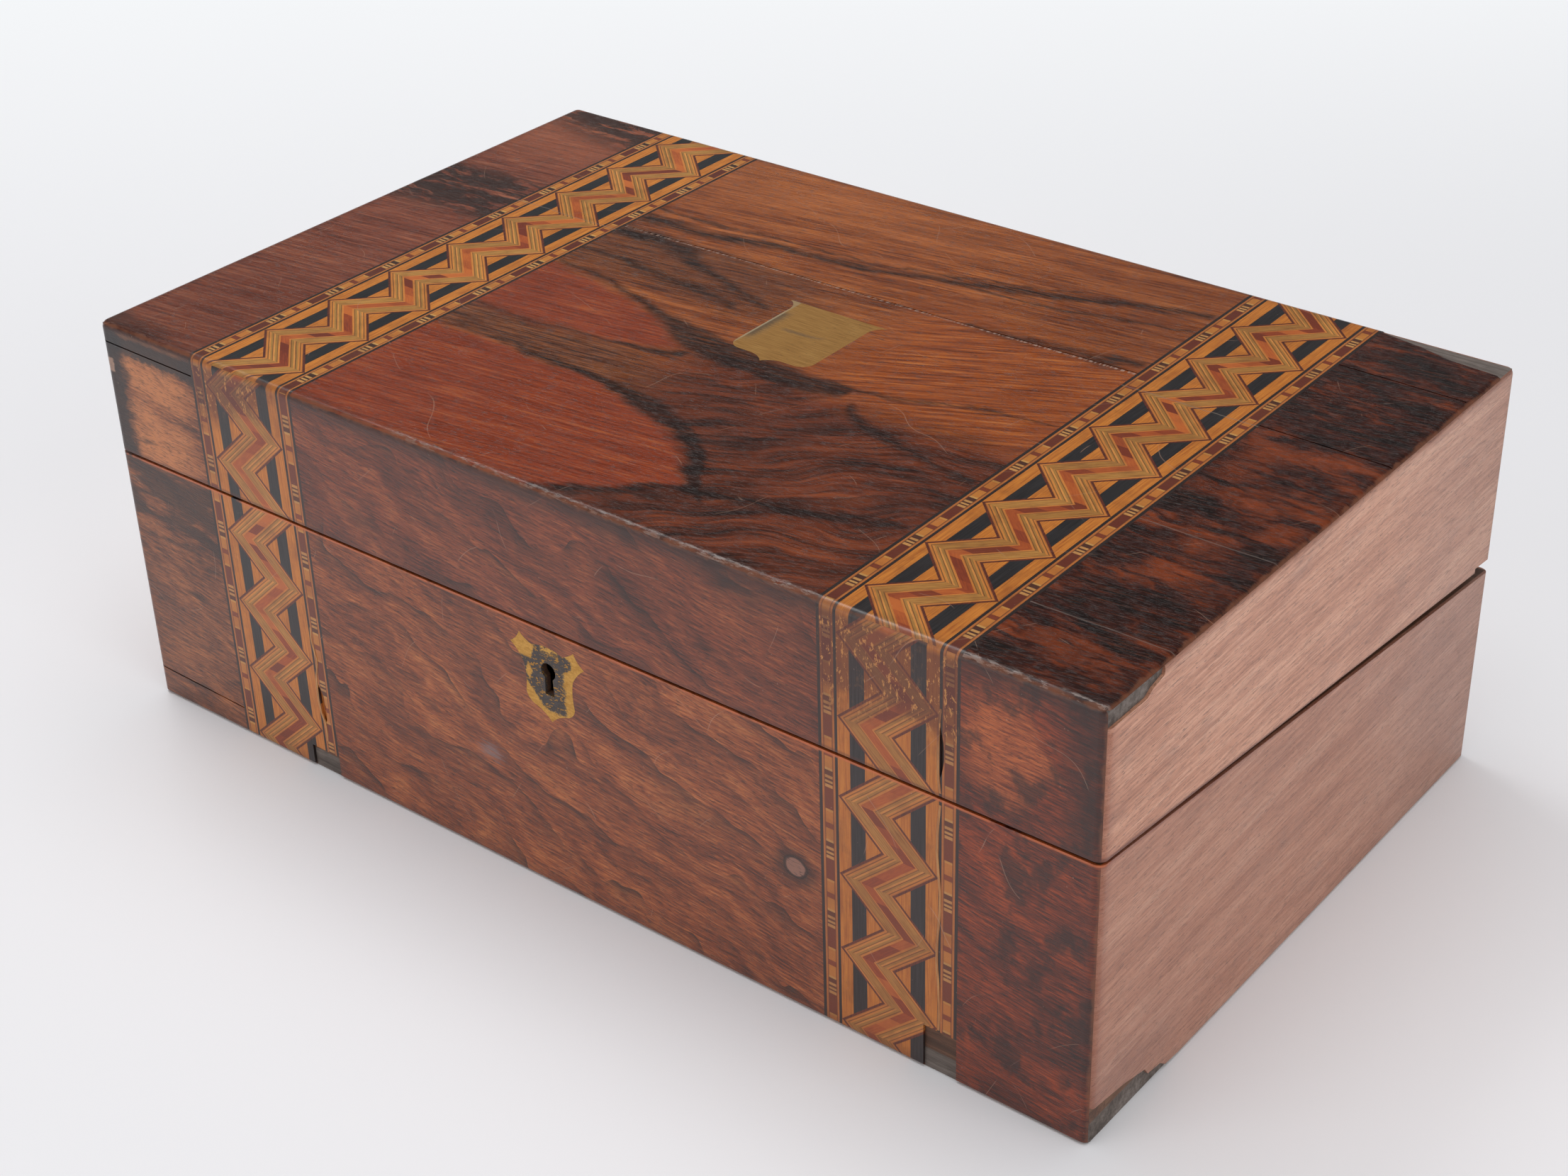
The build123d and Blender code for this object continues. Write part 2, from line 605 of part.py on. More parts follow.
def flap_set(rim, inward, front_y):
    """Ledges with their hinge rail, flap board, leather and small hinges, on one rim.

    inward is -1 where the box lies below the rim and +1 where it lies above it.
    """

    def sheet(x0, x1, y0, y1, near, far):
        low = min(inward * near, inward * far)
        high = max(inward * near, inward * far)
        return between(x0, x1, y0, y1, beside(rim, low), beside(rim, high))

    face = FLAP_SINK
    under = face + FLAP_THICKNESS
    ledge_face = under + LEDGE_CLEARANCE
    flap_x = INNER_X - FLAP_CLEARANCE
    flap_front = front_y + FLAP_CLEARANCE
    flap_back = FLAP_HINGE_Y - FLAP_CLEARANCE / 2
    board = sheet(-flap_x, flap_x, flap_front, flap_back, face, under)
    leather_x = flap_x - LEATHER_BORDER
    leather_span = (flap_front + LEATHER_BORDER, flap_back - LEATHER_BORDER)
    leather = sheet(-leather_x, leather_x, *leather_span, face, face + LEATHER_THICKNESS)
    board = board - sheet(-leather_x, leather_x, *leather_span, face - 1, face + LEATHER_THICKNESS)

    rail_front = FLAP_HINGE_Y + FLAP_CLEARANCE / 2
    rail = sheet(-INNER_X, INNER_X, rail_front, INNER_Y, face, under)
    ledges = [
        sheet(-INNER_X, -INNER_X + LEDGE, front_y, INNER_Y, ledge_face, ledge_face + LEDGE),
        sheet(INNER_X - LEDGE, INNER_X, front_y, INNER_Y, ledge_face, ledge_face + LEDGE),
        sheet(-INNER_X + LEDGE, INNER_X - LEDGE, INNER_Y - LEDGE, INNER_Y, under, ledge_face + LEDGE),
    ]

    hinge_z = rim(FLAP_HINGE_Y) + inward * face
    bed = face + FLAP_LEAF_THICKNESS
    reach = FLAP_KNUCKLE_RADIUS + KNUCKLE_GAP
    fixed = []
    moving = []
    for x in (-FLAP_HINGE_X, FLAP_HINGE_X):
        x0 = x - FLAP_HINGE_LENGTH / 2
        x1 = x + FLAP_HINGE_LENGTH / 2
        own_end = x - KNUCKLE_GAP / 2
        leaf_start = x + KNUCKLE_GAP / 2
        rail_end = rail_front + FLAP_LEAF_DEPTH
        flap_end = flap_back - FLAP_LEAF_DEPTH
        rail = rail - sheet(x0, x1, rail_front - 1, rail_end, face - 1, bed)
        board = board - sheet(x0, x1, flap_end, flap_back + 1, face - 1, bed)
        channel = box(x0, x1, FLAP_HINGE_Y - reach, FLAP_HINGE_Y + reach, hinge_z - reach, hinge_z + reach)
        rail = rail - channel
        board = board - channel

        plate = sheet(x0, x1, FLAP_HINGE_Y + reach, rail_end, face, bed)
        plate = plate + sheet(x0, own_end, FLAP_HINGE_Y, rail_end, face, bed)
        plate = plate + rod_x(x0, own_end, FLAP_HINGE_Y, hinge_z, FLAP_KNUCKLE_RADIUS)
        fixed.append(plate + rod_x(own_end, x1, FLAP_HINGE_Y, hinge_z, FLAP_PIN_RADIUS))
        leaf = sheet(x0, x1, flap_end, FLAP_HINGE_Y - reach, face, bed)
        leaf = leaf + sheet(leaf_start, x1, flap_end, FLAP_HINGE_Y, face, bed)
        leaf = leaf + rod_x(leaf_start, x1, FLAP_HINGE_Y, hinge_z, FLAP_KNUCKLE_RADIUS)
        moving.append(leaf - rod_x(x0 - 1, x1 + 1, FLAP_HINGE_Y, hinge_z, FLAP_PIN_RADIUS + PIN_CLEARANCE))
    return {
        "ledges": solids_of(rail, *ledges),
        "flap_hinge_plates": solids_of(*fixed),
        "flap_board": solids_of(board),
        "flap_leather": solids_of(leather),
        "flap_hinge_leaves": solids_of(*moving),
    }


# Pen tray and inkwells

WELL_OUTER = WELL_SIZE + 2 * WELL_WALL
WELL_X = INNER_X - WELL_OUTER / 2
WELL_Y = -INNER_Y + WELL_OUTER / 2
DIVIDER_Y = -INNER_Y + WELL_OUTER
WELL_TOP_Z = base_rim(DIVIDER_Y) - WELL_TOP_SINK
WELL_FLOOR_HEIGHT = WELL_TOP_Z - WELL_DEPTH
WELL_BOX_FOOT = WELL_FLOOR_HEIGHT - WELL_WALL
COLLAR_Z = WELL_FLOOR_HEIGHT + BOTTLE_HEIGHT
COLLAR_TOP_Z = COLLAR_Z + NECK_HEIGHT + CAP_GAP
CAP_HINGE_Y = WELL_Y + COLLAR_RADIUS + CAP_KNUCKLE_RADIUS
CAP_HINGE_Z = COLLAR_TOP_Z


def well_box(x):
    """An open box that holds one inkwell."""
    half = WELL_OUTER / 2
    outside = box(x - half, x + half, WELL_Y - half, WELL_Y + half, WELL_BOX_FOOT, WELL_TOP_Z)
    half = WELL_SIZE / 2
    return outside - box(x - half, x + half, WELL_Y - half, WELL_Y + half, WELL_FLOOR_HEIGHT, HEIGHT)


def pen_tray():
    """A solid tray between the inkwell boxes, with a round groove for pens that rises at both ends."""
    half = WELL_X - WELL_OUTER / 2
    top = WELL_TOP_Z - TRAY_SINK + WELL_TOP_SINK
    tray = box(-half, half, -INNER_Y, DIVIDER_Y, top - TRAY_THICKNESS, top)
    end = half - TRAY_END - TRAY_GROOVE_SLOPE
    axis_z = top + TRAY_GROOVE_LIFT
    groove = rod_x(-end, end, WELL_Y, axis_z, TRAY_GROOVE_RADIUS)
    for sign in (-1, 1):
        slope = Cone(TRAY_GROOVE_RADIUS, TRAY_GROOVE_LIFT, TRAY_GROOVE_SLOPE)
        middle = sign * (end + TRAY_GROOVE_SLOPE / 2)
        groove = groove + Pos(middle, WELL_Y, axis_z) * Rot(Y=sign * 90) * slope
    return tray - groove


def inkwell(x):
    """A square glass bottle with chamfered corners, a round neck and a straight bore for the ink."""
    body = Pos(x, WELL_Y, WELL_FLOOR_HEIGHT + BOTTLE_HEIGHT / 2) * Box(
        BOTTLE_SIZE, BOTTLE_SIZE, BOTTLE_HEIGHT
    )
    body = chamfer(body.edges().filter_by(Axis.Z), BOTTLE_CHAMFER)
    neck = Pos(x, WELL_Y, COLLAR_Z + NECK_HEIGHT / 2) * Cylinder(NECK_RADIUS, NECK_HEIGHT)
    low = WELL_FLOOR_HEIGHT + BOTTLE_FLOOR
    high = COLLAR_Z + NECK_HEIGHT
    bore = Pos(x, WELL_Y, (low + high) / 2) * Cylinder(NECK_BORE_RADIUS, high - low)
    return body + neck - bore


def collar(x):
    """The brass ring on the neck, with two ears and the cap's hinge pin at its back."""
    ring = Pos(x, WELL_Y, COLLAR_Z + NECK_HEIGHT / 2) * Cylinder(COLLAR_RADIUS, NECK_HEIGHT)
    ear_foot = CAP_HINGE_Z - NECK_HEIGHT + CAP_GAP
    ear_top = CAP_HINGE_Z + 2 * CAP_PIN_RADIUS
    ear_y0 = CAP_HINGE_Y - CAP_KNUCKLE_RADIUS
    ear_y1 = CAP_HINGE_Y + CAP_KNUCKLE_RADIUS
    reach = CAP_KNUCKLE_LENGTH / 2 + KNUCKLE_GAP + CAP_EAR
    for x0 in (x - reach, x + reach - CAP_EAR):
        ring = ring + box(x0, x0 + CAP_EAR, ear_y0, ear_y1, ear_foot, ear_top)
        ring = ring + box(x0, x0 + CAP_EAR, WELL_Y + NECK_RADIUS, ear_y1, ear_foot, COLLAR_TOP_Z - CAP_GAP)
    ring = ring + rod_x(x - reach, x + reach, CAP_HINGE_Y, CAP_HINGE_Z, CAP_PIN_RADIUS)
    bore = Pos(x, WELL_Y, COLLAR_Z + NECK_HEIGHT / 2) * Cylinder(NECK_RADIUS + COLLAR_FIT, NECK_HEIGHT)
    return ring - bore


def cap(x):
    """A low brass cap with a sloping shoulder and its middle knuckle."""
    edge = COLLAR_RADIUS - KNUCKLE_GAP
    crown = COLLAR_TOP_Z + CAP_RIM
    lid = Pos(x, WELL_Y, COLLAR_TOP_Z + CAP_RIM / 2) * Cylinder(edge, CAP_RIM)
    lid = lid + Pos(x, WELL_Y, crown + CAP_DOME / 2) * Cone(edge, edge * CAP_CROWN, CAP_DOME)
    room = CAP_KNUCKLE_LENGTH / 2 + 2 * KNUCKLE_GAP + CAP_EAR
    room_y0 = CAP_HINGE_Y - CAP_KNUCKLE_RADIUS - KNUCKLE_GAP
    room_y1 = CAP_HINGE_Y + CAP_KNUCKLE_RADIUS
    lid = lid - box(x - room, x + room, room_y0, room_y1, WELL_FLOOR_HEIGHT, HEIGHT)
    x0 = x - CAP_KNUCKLE_LENGTH / 2
    x1 = x + CAP_KNUCKLE_LENGTH / 2
    arm = box(x0, x1, room_y0 - 1, CAP_HINGE_Y, CAP_HINGE_Z, CAP_HINGE_Z + CAP_KNUCKLE_RADIUS)
    knuckle = rod_x(x0, x1, CAP_HINGE_Y, CAP_HINGE_Z, CAP_KNUCKLE_RADIUS)
    bore = rod_x(x0 - 1, x1 + 1, CAP_HINGE_Y, CAP_HINGE_Z, CAP_PIN_RADIUS + PIN_CLEARANCE)
    return lid + arm + knuckle - bore


# Assembly


def base_nodes():
    """Every piece of the base body."""
    boards = carcass(level(BOTTOM_THICKNESS), base_rim)
    bottom = box(-BOARD_X, BOARD_X, -BOARD_Y, BOARD_Y, 0, BOTTOM_THICKNESS) & OUTER
    patches = lost_patches()
    below = between(-SIDE - 1, SIDE + 1, FRONT - 1, BACK + 1, level(-1), base_rim)
    edge = BAND_CENTRE + BAND_HALF
    near = BAND_CENTRE - BAND_HALF

    def skin(x0, x1, y0, y1):
        return box(x0, x1, y0, y1, 0, HEIGHT - VENEER) & OUTER & below

    keyhole = let_in(front_plane(0), keyhole_outline(), VENEER)
    shield = let_in(front_plane(0), escutcheon_outline(), VENEER)
    through = let_in(front_plane(0), keyhole_outline(), VENEER + WALL)
    front_veneers = [
        skin(-SIDE, -edge, FRONT, FRONT + VENEER) - front_crack((-SIDE, 11.6), (-edge, 10.4)),
        skin(-near, near, FRONT, FRONT + VENEER) - shield,
        skin(edge, SIDE, FRONT, FRONT + VENEER),
    ]
    right_veneer = skin(BOARD_X, SIDE, -BOARD_Y, BOARD_Y)
    for patch in patches:
        right_veneer = right_veneer - patch

    bands = [
        (front_plane(x), band(0, BASE_FRONT_HEIGHT, ZIGZAG_PITCH_FRONT, FRONT_TIP_HEIGHT, -1))
        for x in (-BAND_CENTRE, BAND_CENTRE)
    ]
    inlay = parquetry(bands, [OUTER, below])
    for kind, solids in inlay.items():
        cut = []
        for solid in solids:
            for lost in (*patches[:2], *string_gaps()):
                solid = solid - lost
            cut += solids_of(solid)
        inlay[kind] = cut

    leaves = [hinge_leaf(x, base_rim, 1, 0) for x in (-HINGE_X, HINGE_X)]
    pins = [
        rod_x(x - HINGE_LENGTH / 2, x + HINGE_LENGTH / 2, HINGE_Y, HINGE_Z, PIN_RADIUS)
        for x in (-HINGE_X, HINGE_X)
    ]
    front_y = DIVIDER_Y + DIVIDER_THICKNESS
    divider = between(
        -INNER_X, INNER_X, DIVIDER_Y, front_y, level(WELL_BOX_FOOT), beside(base_rim, -FLAP_SINK)
    )
    nodes = {
        "base_bottom_board": solids_of(bottom),
        "base_front_board": solids_of(boards["front"] - lock_blank() - through),
        "base_back_board": solids_of(boards["back"]),
        "base_left_board": solids_of(boards["left"]),
        "base_right_board": solids_of(boards["right"]),
        "base_front_veneers": solids_of(*front_veneers),
        "base_left_veneer": solids_of(skin(-SIDE, -BOARD_X, -BOARD_Y, BOARD_Y)),
        "base_right_veneer": solids_of(right_veneer),
        "base_back_veneer": solids_of(skin(-SIDE, SIDE, BACK - VENEER, BACK)),
        "escutcheon": solids_of(shield - keyhole),
        "lock_case": solids_of(lock_case()),
        "lock_bolt": solids_of(lock_bolt()),
        "base_hinge_leaves": solids_of(*leaves),
        "hinge_pins": solids_of(*pins),
        "tray_divider": solids_of(divider),
        "inkwell_boxes": solids_of(well_box(-WELL_X), well_box(WELL_X)),
        "pen_tray": solids_of(pen_tray()),
        "inkwells": solids_of(inkwell(-WELL_X), inkwell(WELL_X)),
        "inkwell_collars": solids_of(collar(-WELL_X), collar(WELL_X)),
        "inkwell_cap_left": solids_of(cap(-WELL_X)),
        "inkwell_cap_right": solids_of(cap(WELL_X)),
    }
    for kind, solids in inlay.items():
        nodes["base_" + kind] = solids
    for name, solids in flap_set(base_rim, -1, front_y).items():
        nodes["base_" + name] = solids
    return nodes


def lid_nodes():
    """Every piece of the lid body."""
    boards = carcass(lid_rim, level(TOP_BOARD_Z))
    top = box(-BOARD_X, BOARD_X, -BOARD_Y, BOARD_Y, TOP_BOARD_Z, HEIGHT - VENEER)
    patches = lost_patches()
    above = between(-SIDE - 1, SIDE + 1, FRONT - 1, BACK + 1, lid_rim, level(HEIGHT + 1))
    edge = BAND_CENTRE + BAND_HALF
    near = BAND_CENTRE - BAND_HALF

    def skin(x0, x1, y0, y1):
        return box(x0, x1, y0, y1, 0, HEIGHT - VENEER) & OUTER & above

    def cover(x0, x1):
        return box(x0, x1, FRONT, BACK, HEIGHT - VENEER, HEIGHT) & OUTER

    plate = let_in(top_plane(0), cartouche_outline(), VENEER)
    chip_x = SIDE - CHIP_REACH
    chip_y = BACK - CHIP_LENGTH
    worn_corner = between(chip_x, SIDE + 1, chip_y, BACK + 1, beside(lid_rim, -1), beside(lid_rim, CHIP_RISE))
    centre = cover(-near, near) - plate
    for cut in top_crack((-near, 162.4), (-62.0, 163.6), (10.0, 164.8), (near, 167.4)):
        centre = centre - cut
    right = cover(edge, SIDE)
    for cut in top_crack((edge, 158.6), (SIDE, 157.6)) + top_crack((edge, 209.4), (SIDE - 2, 208.6)):
        right = right - cut
    right_veneer = skin(BOARD_X, SIDE, -BOARD_Y, BOARD_Y) - worn_corner
    for patch in patches:
        right = right - patch
        right_veneer = right_veneer - patch
    split = front_crack((-SIDE, HEIGHT - 7.2), (-edge, HEIGHT - 8.0))
    front_veneers = [
        skin(-SIDE, -edge, FRONT, FRONT + VENEER) - split,
        skin(-near, near, FRONT, FRONT + VENEER),
        skin(edge, SIDE, FRONT, FRONT + VENEER),
    ]

    top_tip = TOP_TIP_FROM_FRONT
    low = lid_rim(FRONT) - 1
    front_end = HEIGHT - VENEER
    bands = []
    for x, side in ((-BAND_CENTRE, -1), (BAND_CENTRE, 1)):
        bands.append((top_plane(x), band(0, DEPTH, ZIGZAG_PITCH_TOP, top_tip, side)))
        bands.append((front_plane(x), band(low, front_end, ZIGZAG_PITCH_FRONT, FRONT_TIP_HEIGHT, -1)))
    inlay = parquetry(bands, [OUTER, above])
    for kind in ("band_lines", "band_chequers"):
        whole = inlay[kind]
        inlay[kind] = []
        for solid in whole:
            for gap in string_gaps():
                solid = solid - gap
            inlay[kind] += solids_of(solid)

    leaves = [hinge_leaf(x, lid_rim, -1, 1) for x in (-HINGE_X, HINGE_X)]
    nodes = {
        "lid_top_board": solids_of(top),
        "lid_front_board": solids_of(boards["front"] - link_plate_blank()),
        "lid_back_board": solids_of(boards["back"] - worn_corner),
        "lid_left_board": solids_of(boards["left"]),
        "lid_right_board": solids_of(boards["right"] - worn_corner),
        "lid_top_veneers": solids_of(cover(-SIDE, -edge), centre, right),
        "lid_front_veneers": solids_of(*front_veneers),
        "lid_left_veneer": solids_of(skin(-SIDE, -BOARD_X, -BOARD_Y, BOARD_Y)),
        "lid_right_veneer": solids_of(right_veneer),
        "lid_back_veneer": solids_of(skin(-SIDE, SIDE, BACK - VENEER, BACK) - worn_corner),
        "cartouche": solids_of(plate),
        "link_plate": solids_of(link_plate()),
        "lid_hinge_leaves": solids_of(*leaves),
    }
    for kind, solids in inlay.items():
        nodes["lid_" + kind] = solids
    for name, solids in flap_set(lid_rim, 1, -INNER_Y).items():
        nodes["lid_" + name] = solids
    return nodes


os.makedirs("parts", exist_ok=True)
for name, solids in {**base_nodes(), **lid_nodes()}.items():
    export_step(Compound(children=solids), f"parts/{name}.step")
    print(name, len(solids))
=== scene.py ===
import math

import bmesh
import bpy
from mathutils import Matrix, Vector


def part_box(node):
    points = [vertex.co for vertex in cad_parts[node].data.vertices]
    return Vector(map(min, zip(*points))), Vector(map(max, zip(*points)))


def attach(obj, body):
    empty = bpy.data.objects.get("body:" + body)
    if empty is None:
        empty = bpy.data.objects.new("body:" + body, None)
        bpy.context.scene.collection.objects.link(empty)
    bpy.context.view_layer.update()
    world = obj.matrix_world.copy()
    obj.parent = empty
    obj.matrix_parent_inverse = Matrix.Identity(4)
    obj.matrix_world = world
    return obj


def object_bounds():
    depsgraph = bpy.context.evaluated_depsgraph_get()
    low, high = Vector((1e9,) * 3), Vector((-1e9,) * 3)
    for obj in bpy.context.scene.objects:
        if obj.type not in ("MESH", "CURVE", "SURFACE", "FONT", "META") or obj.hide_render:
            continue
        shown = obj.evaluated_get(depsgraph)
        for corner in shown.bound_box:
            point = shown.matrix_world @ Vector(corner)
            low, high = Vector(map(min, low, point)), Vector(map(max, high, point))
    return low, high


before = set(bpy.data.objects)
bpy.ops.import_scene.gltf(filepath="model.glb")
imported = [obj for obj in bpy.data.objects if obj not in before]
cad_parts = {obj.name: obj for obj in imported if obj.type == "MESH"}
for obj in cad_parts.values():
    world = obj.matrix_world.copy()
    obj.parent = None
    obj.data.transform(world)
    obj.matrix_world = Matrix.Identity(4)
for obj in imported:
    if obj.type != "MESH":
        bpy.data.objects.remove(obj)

cad_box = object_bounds()

# Sizes in millimetres, read from the frame. X runs along the box and the lock side faces -Y.
MM = 0.001
SIDE = cad_box[1].x / MM
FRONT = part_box("base_front_veneers")[0].y / MM
BACK = -FRONT
TOP = cad_box[1].z / MM
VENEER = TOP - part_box("lid_top_board")[1].z / MM
RIM_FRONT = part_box("base_front_veneers")[1].z / MM
RIM_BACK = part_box("base_back_veneer")[1].z / MM

# Parquetry, as in the CAD
BAND_CENTRE = 130.0
BAND_HALF = 24.3
SWING = 7.5
KEYHOLE_HEIGHT = 85.0
PITCH_TOP, TIP_TOP = 28.6, 27.6
PITCH_FRONT, TIP_FRONT = 27.6, 31.0


def srgb(red, green, blue):
    """A colour given as eight-bit screen values, in the linear form that nodes take."""
    linear = [((c / 255 + 0.055) / 1.055) ** 2.4 if c > 10 else c / 3295 for c in (red, green, blue)]
    return (*linear, 1.0)


class Num:
    """A value that a material works out for each point. Arithmetic on it adds nodes."""

    def __init__(self, graph, socket):
        self.graph = graph
        self.socket = socket

    def __add__(self, other):
        return self.graph.math("ADD", self, other)

    def __sub__(self, other):
        return self.graph.math("SUBTRACT", self, other)

    def __rsub__(self, other):
        return self.graph.math("SUBTRACT", other, self)

    def __mul__(self, other):
        return self.graph.math("MULTIPLY", self, other)

    def __truediv__(self, other):
        return self.graph.math("DIVIDE", self, other)

    def __gt__(self, other):
        return self.graph.math("GREATER_THAN", self, other)

    def __lt__(self, other):
        return self.graph.math("LESS_THAN", self, other)

    __radd__ = __add__
    __rmul__ = __mul__


class Graph:
    """A material under construction. x, y and z are the place on the box in millimetres."""

    def __init__(self, name):
        self.material = bpy.data.materials.new(name)
        self.material.use_nodes = True
        self.nodes = self.material.node_tree.nodes
        self.links = self.material.node_tree.links
        self.nodes.clear()
        place = self.nodes.new("ShaderNodeTexCoord").outputs["Object"]
        split = self.nodes.new("ShaderNodeSeparateXYZ")
        self.links.new(place, split.inputs[0])
        self.x, self.y, self.z = [Num(self, s) * (1 / MM) for s in split.outputs]
        self.v = self.y - FRONT

    def put(self, socket, value):
        if isinstance(value, Num):
            self.links.new(value.socket, socket)
        else:
            socket.default_value = value

    def math(self, operation, *values):
        node = self.nodes.new("ShaderNodeMath")
        node.operation = operation
        for socket, value in zip(node.inputs, values):
            self.put(socket, value)
        return Num(self, node.outputs[0])

    def step(self, value, low, high):
        """0 below low, 1 above high, smooth between. Reversed if low is the larger."""
        node = self.nodes.new("ShaderNodeMapRange")
        node.interpolation_type = "SMOOTHSTEP"
        self.put(node.inputs["Value"], value)
        self.put(node.inputs["From Min"], low)
        self.put(node.inputs["From Max"], high)
        return Num(self, node.outputs[0])

    def noise(self, x, y, z, detail=3.0, rough=0.55, warp=0.0):
        """Smooth noise from 0 to 1 whose features are about one unit of the given place."""
        join = self.nodes.new("ShaderNodeCombineXYZ")
        for socket, value in zip(join.inputs, (x, y, z)):
            self.put(socket, value)
        node = self.nodes.new("ShaderNodeTexNoise")
        self.links.new(join.outputs[0], node.inputs["Vector"])
        node.inputs["Scale"].default_value = 1.0
        node.inputs["Detail"].default_value = detail
        node.inputs["Roughness"].default_value = rough
        node.inputs["Distortion"].default_value = warp
        return Num(self, node.outputs["Fac"])

    def cell(self, x, y=0.0):
        """A random number from 0 to 1 for each whole step of x and y."""
        join = self.nodes.new("ShaderNodeCombineXYZ")
        self.put(join.inputs[0], self.math("FLOOR", x))
        self.put(join.inputs[1], y)
        node = self.nodes.new("ShaderNodeTexWhiteNoise")
        self.links.new(join.outputs[0], node.inputs["Vector"])
        return Num(self, node.outputs["Value"])

    def ramp(self, value, *stops, sharp=False):
        """Colours by value: stops are (place, (r, g, b))."""
        node = self.nodes.new("ShaderNodeValToRGB")
        node.color_ramp.interpolation = "CONSTANT" if sharp else "LINEAR"
        points = node.color_ramp.elements
        while len(points) < len(stops):
            points.new(1.0)
        for point, (place, colour) in zip(points, stops):
            point.position = place
            point.color = srgb(*colour)
        self.put(node.inputs[0], value)
        return Num(self, node.outputs[0])

    def mix(self, factor, first, second):
        """The first colour where factor is 0, the second where it is 1."""
        node = self.nodes.new("ShaderNodeMix")
        node.data_type = "RGBA"
        self.put(node.inputs[0], factor)
        for socket, value in ((node.inputs[6], first), (node.inputs[7], second)):
            self.put(socket, value if isinstance(value, Num) else srgb(*value))
        return Num(self, node.outputs[2])

    def curve(self, t, *points):
        """A smooth line through (t, value) points."""
        node = self.nodes.new("ShaderNodeFloatCurve")
        first, last = points[0][0], points[-1][0]
        values = [value for _, value in points]
        base = min(values)
        span = max(max(values) - base, 1e-6)
        places = [((a - first) / (last - first), (b - base) / span) for a, b in points]
        line = node.mapping.curves[0]
        line.points[0].location = places[0]
        line.points[1].location = places[-1]
        for place in places[1:-1]:
            line.points.new(*place)
        node.mapping.update()
        self.put(node.inputs["Value"], (t - first) / (last - first))
        return Num(self, node.outputs[0]) * span + base

    def streak(self, u, v, soft, *points):
        """1 on a curved streak through (u, v, half width) points, falling to 0 beyond it."""
        middle = self.curve(u, *[(a, b) for a, b, _ in points])
        half = self.curve(u, *[(a, w) for a, _, w in points])
        ends = self.step(u, points[0][0] - 2, points[0][0] + 2) * self.step(u, points[-1][0] + 2, points[-1][0] - 2)
        off = self.math("ABSOLUTE", v - middle) - half
        return self.step(off, soft, -soft) * ends

    def biggest(self, *values):
        result = values[0]
        for value in values[1:]:
            result = self.math("MAXIMUM", result, value)
        return result

    def smallest(self, *values):
        result = values[0]
        for value in values[1:]:
            result = self.math("MINIMUM", result, value)
        return result

    def finish(self, colour, rough=0.35, height=None, depth=0.1, coat=0.0, metallic=0.0, **sockets):
        """Ends the material. height is in units of depth millimetres."""
        shader = self.nodes.new("ShaderNodeBsdfPrincipled")
        out = self.nodes.new("ShaderNodeOutputMaterial")
        self.links.new(shader.outputs[0], out.inputs[0])
        self.put(shader.inputs["Base Color"], colour if isinstance(colour, Num) else srgb(*colour))
        self.put(shader.inputs["Roughness"], rough)
        self.put(shader.inputs["Metallic"], metallic)
        shader.inputs["Coat Weight"].default_value = coat
        shader.inputs["Coat Roughness"].default_value = 0.16
        for name, value in sockets.items():
            self.put(shader.inputs[name], value)
        if height is not None:
            bump = self.nodes.new("ShaderNodeBump")
            bump.inputs["Strength"].default_value = 0.8
            bump.inputs["Distance"].default_value = depth * MM
            self.put(bump.inputs["Height"], height)
            self.links.new(bump.outputs[0], shader.inputs["Normal"])
        return self.material


# Marks of age that all the outer woods share


def edge_distance(g):
    """How far a point of the skin is from the nearest outer edge of the box, in millimetres."""
    side = SIDE - g.math("ABSOLUTE", g.x)
    depth = g.smallest(g.v, BACK - g.y)
    height = g.smallest(TOP - g.z, g.z)
    return g.smallest(g.biggest(side, depth), g.biggest(side, height), g.biggest(depth, height))


def over_rim(g):
    """Height over the middle of the sloping joint between lid and base, in millimetres."""
    rim = g.v * ((RIM_BACK - RIM_FRONT) / (BACK - FRONT)) + (RIM_FRONT + 0.5)
    return g.z - rim - g.v * 0.005


